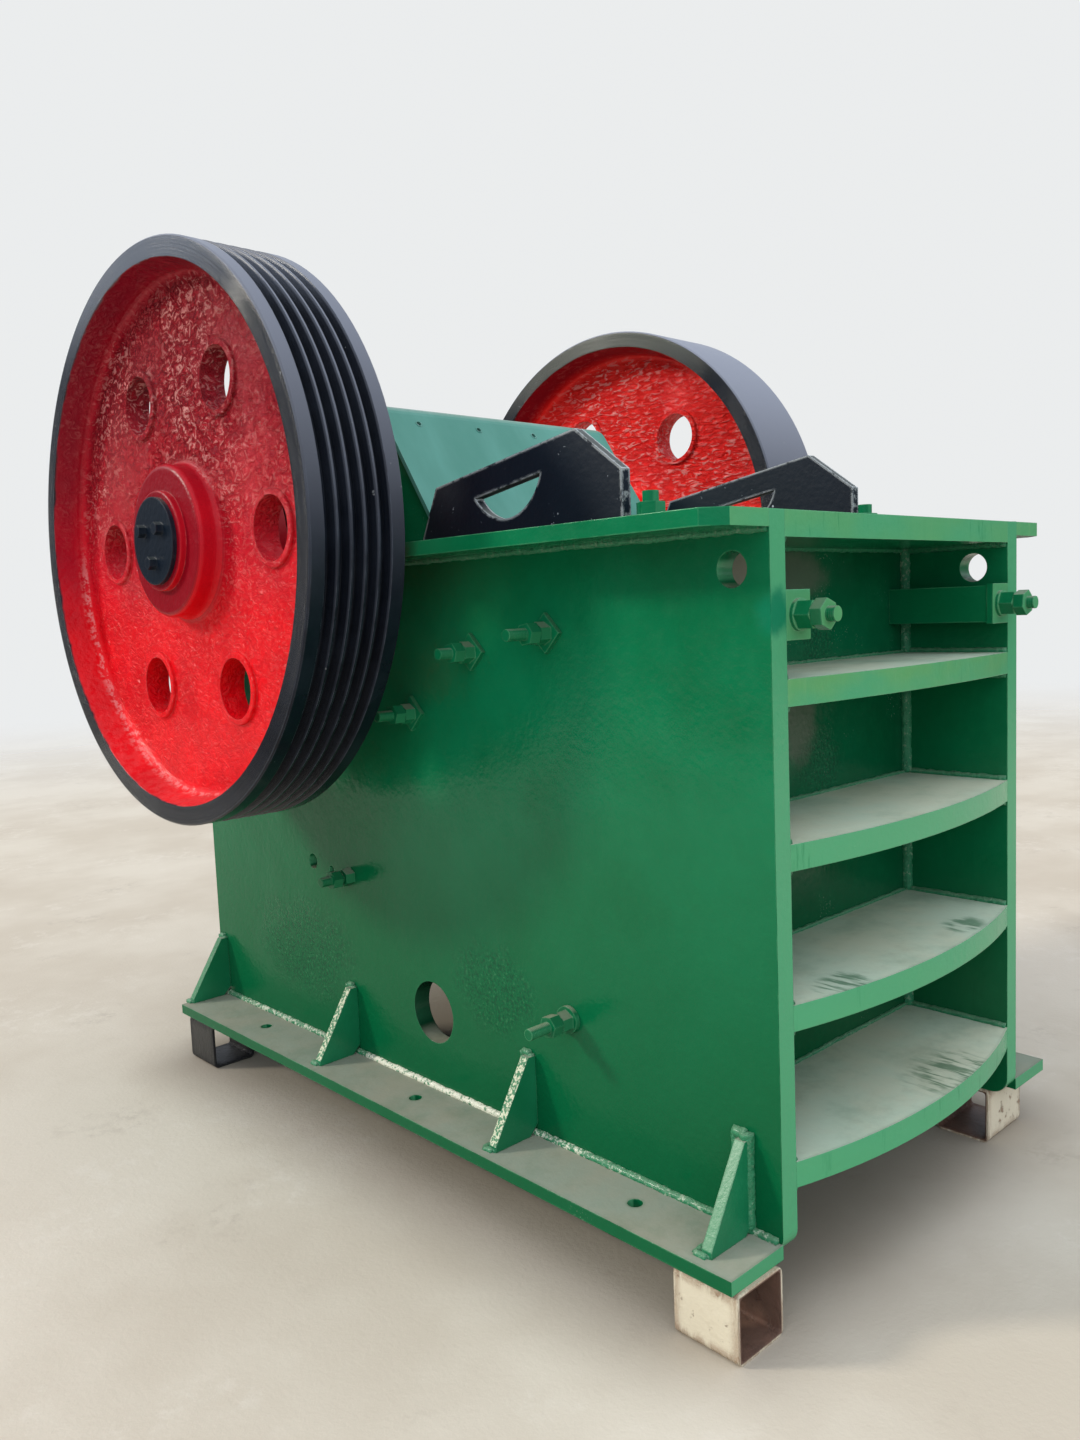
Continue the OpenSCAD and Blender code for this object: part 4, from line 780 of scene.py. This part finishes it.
# Guard plate: thin burrs round its screw holes and the sunken screws
GUARD_FOOT, GUARD_BEND = Vector((0, 1112.2, 1544.6)), Vector((0, 1319.1, 1857.6))
slope = (GUARD_BEND - GUARD_FOOT).normalized()
out_of_guard = Vector((0, -slope.z, slope.y))
hole = GUARD_BEND - slope * 20
burrs, screws = [], []
for x in (-330, -110, 110, 330):
    spot = at(x, hole.y, hole.z)
    burrs.append(bored_ring(spot + out_of_guard * 0.0004, out_of_guard, 0.0072, 0.0105, 0.0016))
    screws.append(hex_head(spot - out_of_guard * 0.010, out_of_guard, 0.010, 0.005))
settle(join(burrs), "guard_hole_burrs", guard_green, "swing_jaw")
settle(join(screws), "guard_screws", cover_black, "swing_jaw")

# Bearing covers: a ring of eight bolts on each
for s, side in SIDES:
    low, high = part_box("bearing_" + side)
    face = low.x if s < 0 else high.x
    ring_r = (high.z - low.z) / 2 - 0.022
    middle = (low + high) / 2
    heads = []
    for i in range(8):
        a = math.pi * (i + 0.5) / 4
        spot = Vector((face, middle.y + ring_r * math.cos(a), middle.z + ring_r * math.sin(a)))
        heads.append(hex_head(spot, (s, 0, 0), 0.024, 0.013))
    settle(join(heads), "cover_bolts_" + side, cover_black, "frame")


# Camera: a turn, a tilt and a slight roll. The length of its lens is given in pixels of the picture.
YAW, PITCH, ROLL = (math.radians(a) for a in (43.053, -5.615, -2.315))
LENS_PIXELS, PICTURE_H = 1117.04, 1440
SENSOR_H = 24
look = Vector((math.sin(YAW) * math.cos(PITCH), math.cos(YAW) * math.cos(PITCH), math.sin(PITCH)))
across = Vector((math.cos(YAW), -math.sin(YAW), 0))
upright = across.cross(look)
side_axis = across * math.cos(ROLL) + upright * math.sin(ROLL)
top_axis = upright * math.cos(ROLL) - across * math.sin(ROLL)
camera = bpy.data.objects.new("camera", bpy.data.cameras.new("camera"))
bpy.context.scene.collection.objects.link(camera)
facing = Matrix((side_axis, top_axis, -look)).transposed().to_4x4()
camera.matrix_world = Matrix.Translation((-2.2917, -2.3904, 1.4527)) @ facing
camera.data.sensor_fit = "VERTICAL"
camera.data.sensor_height = SENSOR_H
camera.data.lens = SENSOR_H * LENS_PIXELS / PICTURE_H
camera.data.clip_end = 200
bpy.context.scene.camera = camera

# Floor: pale, scuffed and stained, with painted shade close to the machine, fading out far away
clear_selection()
bpy.ops.mesh.primitive_plane_add(size=80, location=(0, 0, 0))
floor = bpy.context.object
floor.name = "floor"
grey = Finish("floor_grey")
patches = grey.step(grey.noise(0.7, 5, 0.6), 0.38, 0.62)
tone = grey.blend(patches, (0.53, 0.460, 0.365), (0.61, 0.545, 0.445))
scuffed = grey.step(grey.noise(1.3, 4, 0.6), 0.50, 0.60)
scuffs = grey.times(scuffed, grey.step(grey.noise(14, 5, 0.75), 0.48, 0.62), 0.4)
tone = grey.blend(scuffs, tone, (0.67, 0.61, 0.52))
stained = grey.step(grey.noise(2.1, 4, 0.7), 0.56, 0.70)
stains = grey.times(stained, grey.step(grey.noise(24, 4, 0.7), 0.42, 0.60), 0.35)
tone = grey.blend(stains, tone, (0.36, 0.30, 0.24))
# Painted shade round the foot of the machine, darker the closer to it.
shade_half = (0.62, 1.02)
past = []
for i in range(2):
    off_middle = grey.calc("ABSOLUTE", grey.axis(grey.place, i))
    past.append(grey.calc("MAXIMUM", grey.calc("SUBTRACT", off_middle, shade_half[i]), 0.0))
away = grey.calc("SQRT", grey.calc("ADD", grey.times(past[0], past[0]), grey.times(past[1], past[1])))
tone = grey.blend(grey.step(away, 0.0, 0.36, 0.55, 0.0), tone, (0.115, 0.090, 0.065))
grey.close(tone, 0.8, grey.relief(grey.noise(70, 4, 0.6), 0.0012))
gone = grey.add("ShaderNodeBsdfTransparent").outputs[0]
fade = grey.either(grey.step(grey.reach((0, 0, 0)), 5.0, 17.0), grey.shader.outputs[0], gone)
grey.plug(grey.tree.nodes["Material Output"].inputs["Surface"], fade)
floor.data.materials.append(grey.material)

# Sky: brightest above the front, a dimmer one that gloss mirrors, and plain pale grey to the camera
SKY_BLUE, BACKDROP = (0.84, 0.90, 1.0), (0.83, 0.845, 0.85)
world = bpy.data.worlds.new("sky")
world.use_nodes = True
bpy.context.scene.world = world
air = Nodes(world.node_tree)
air.tree.nodes.remove(air.tree.nodes["Background"])


def glow(colour, strength):
    shade = air.add("ShaderNodeBackground")
    air.plug(shade.inputs["Color"], colour)
    air.plug(shade.inputs["Strength"], strength)
    return shade.outputs[0]


toward = air.add("ShaderNodeTexCoord").outputs["Generated"]
bright = air.add("ShaderNodeVectorMath", operation="DOT_PRODUCT")
air.plug(bright.inputs[0], toward)
bright.inputs[1].default_value = Vector((-0.28, -0.50, 0.82)).normalized()
lit = glow(SKY_BLUE, air.step(bright.outputs["Value"], 0.0, 1.0, 0.16, 2.0))
mirrored = glow(SKY_BLUE, air.step(air.axis(toward, 2), 0.0, 0.45, 0.06, 0.95))
ray = air.add("ShaderNodeLightPath")
unseen = air.either(ray.outputs["Is Glossy Ray"], lit, mirrored)
shown = air.either(ray.outputs["Is Camera Ray"], unseen, glow(BACKDROP, 1.0))
air.plug(air.tree.nodes["World Output"].inputs[0], shown)

sun = bpy.data.objects.new("sun", bpy.data.lights.new("sun", "SUN"))
bpy.context.scene.collection.objects.link(sun)
sun.data.energy = 1.9
sun.data.angle = math.radians(9)
sun.data.color = (1.0, 0.95, 0.85)
sun.rotation_euler = turn_to((-0.62, 0.615, 0.488))

bpy.context.scene.view_settings.view_transform = "Standard"
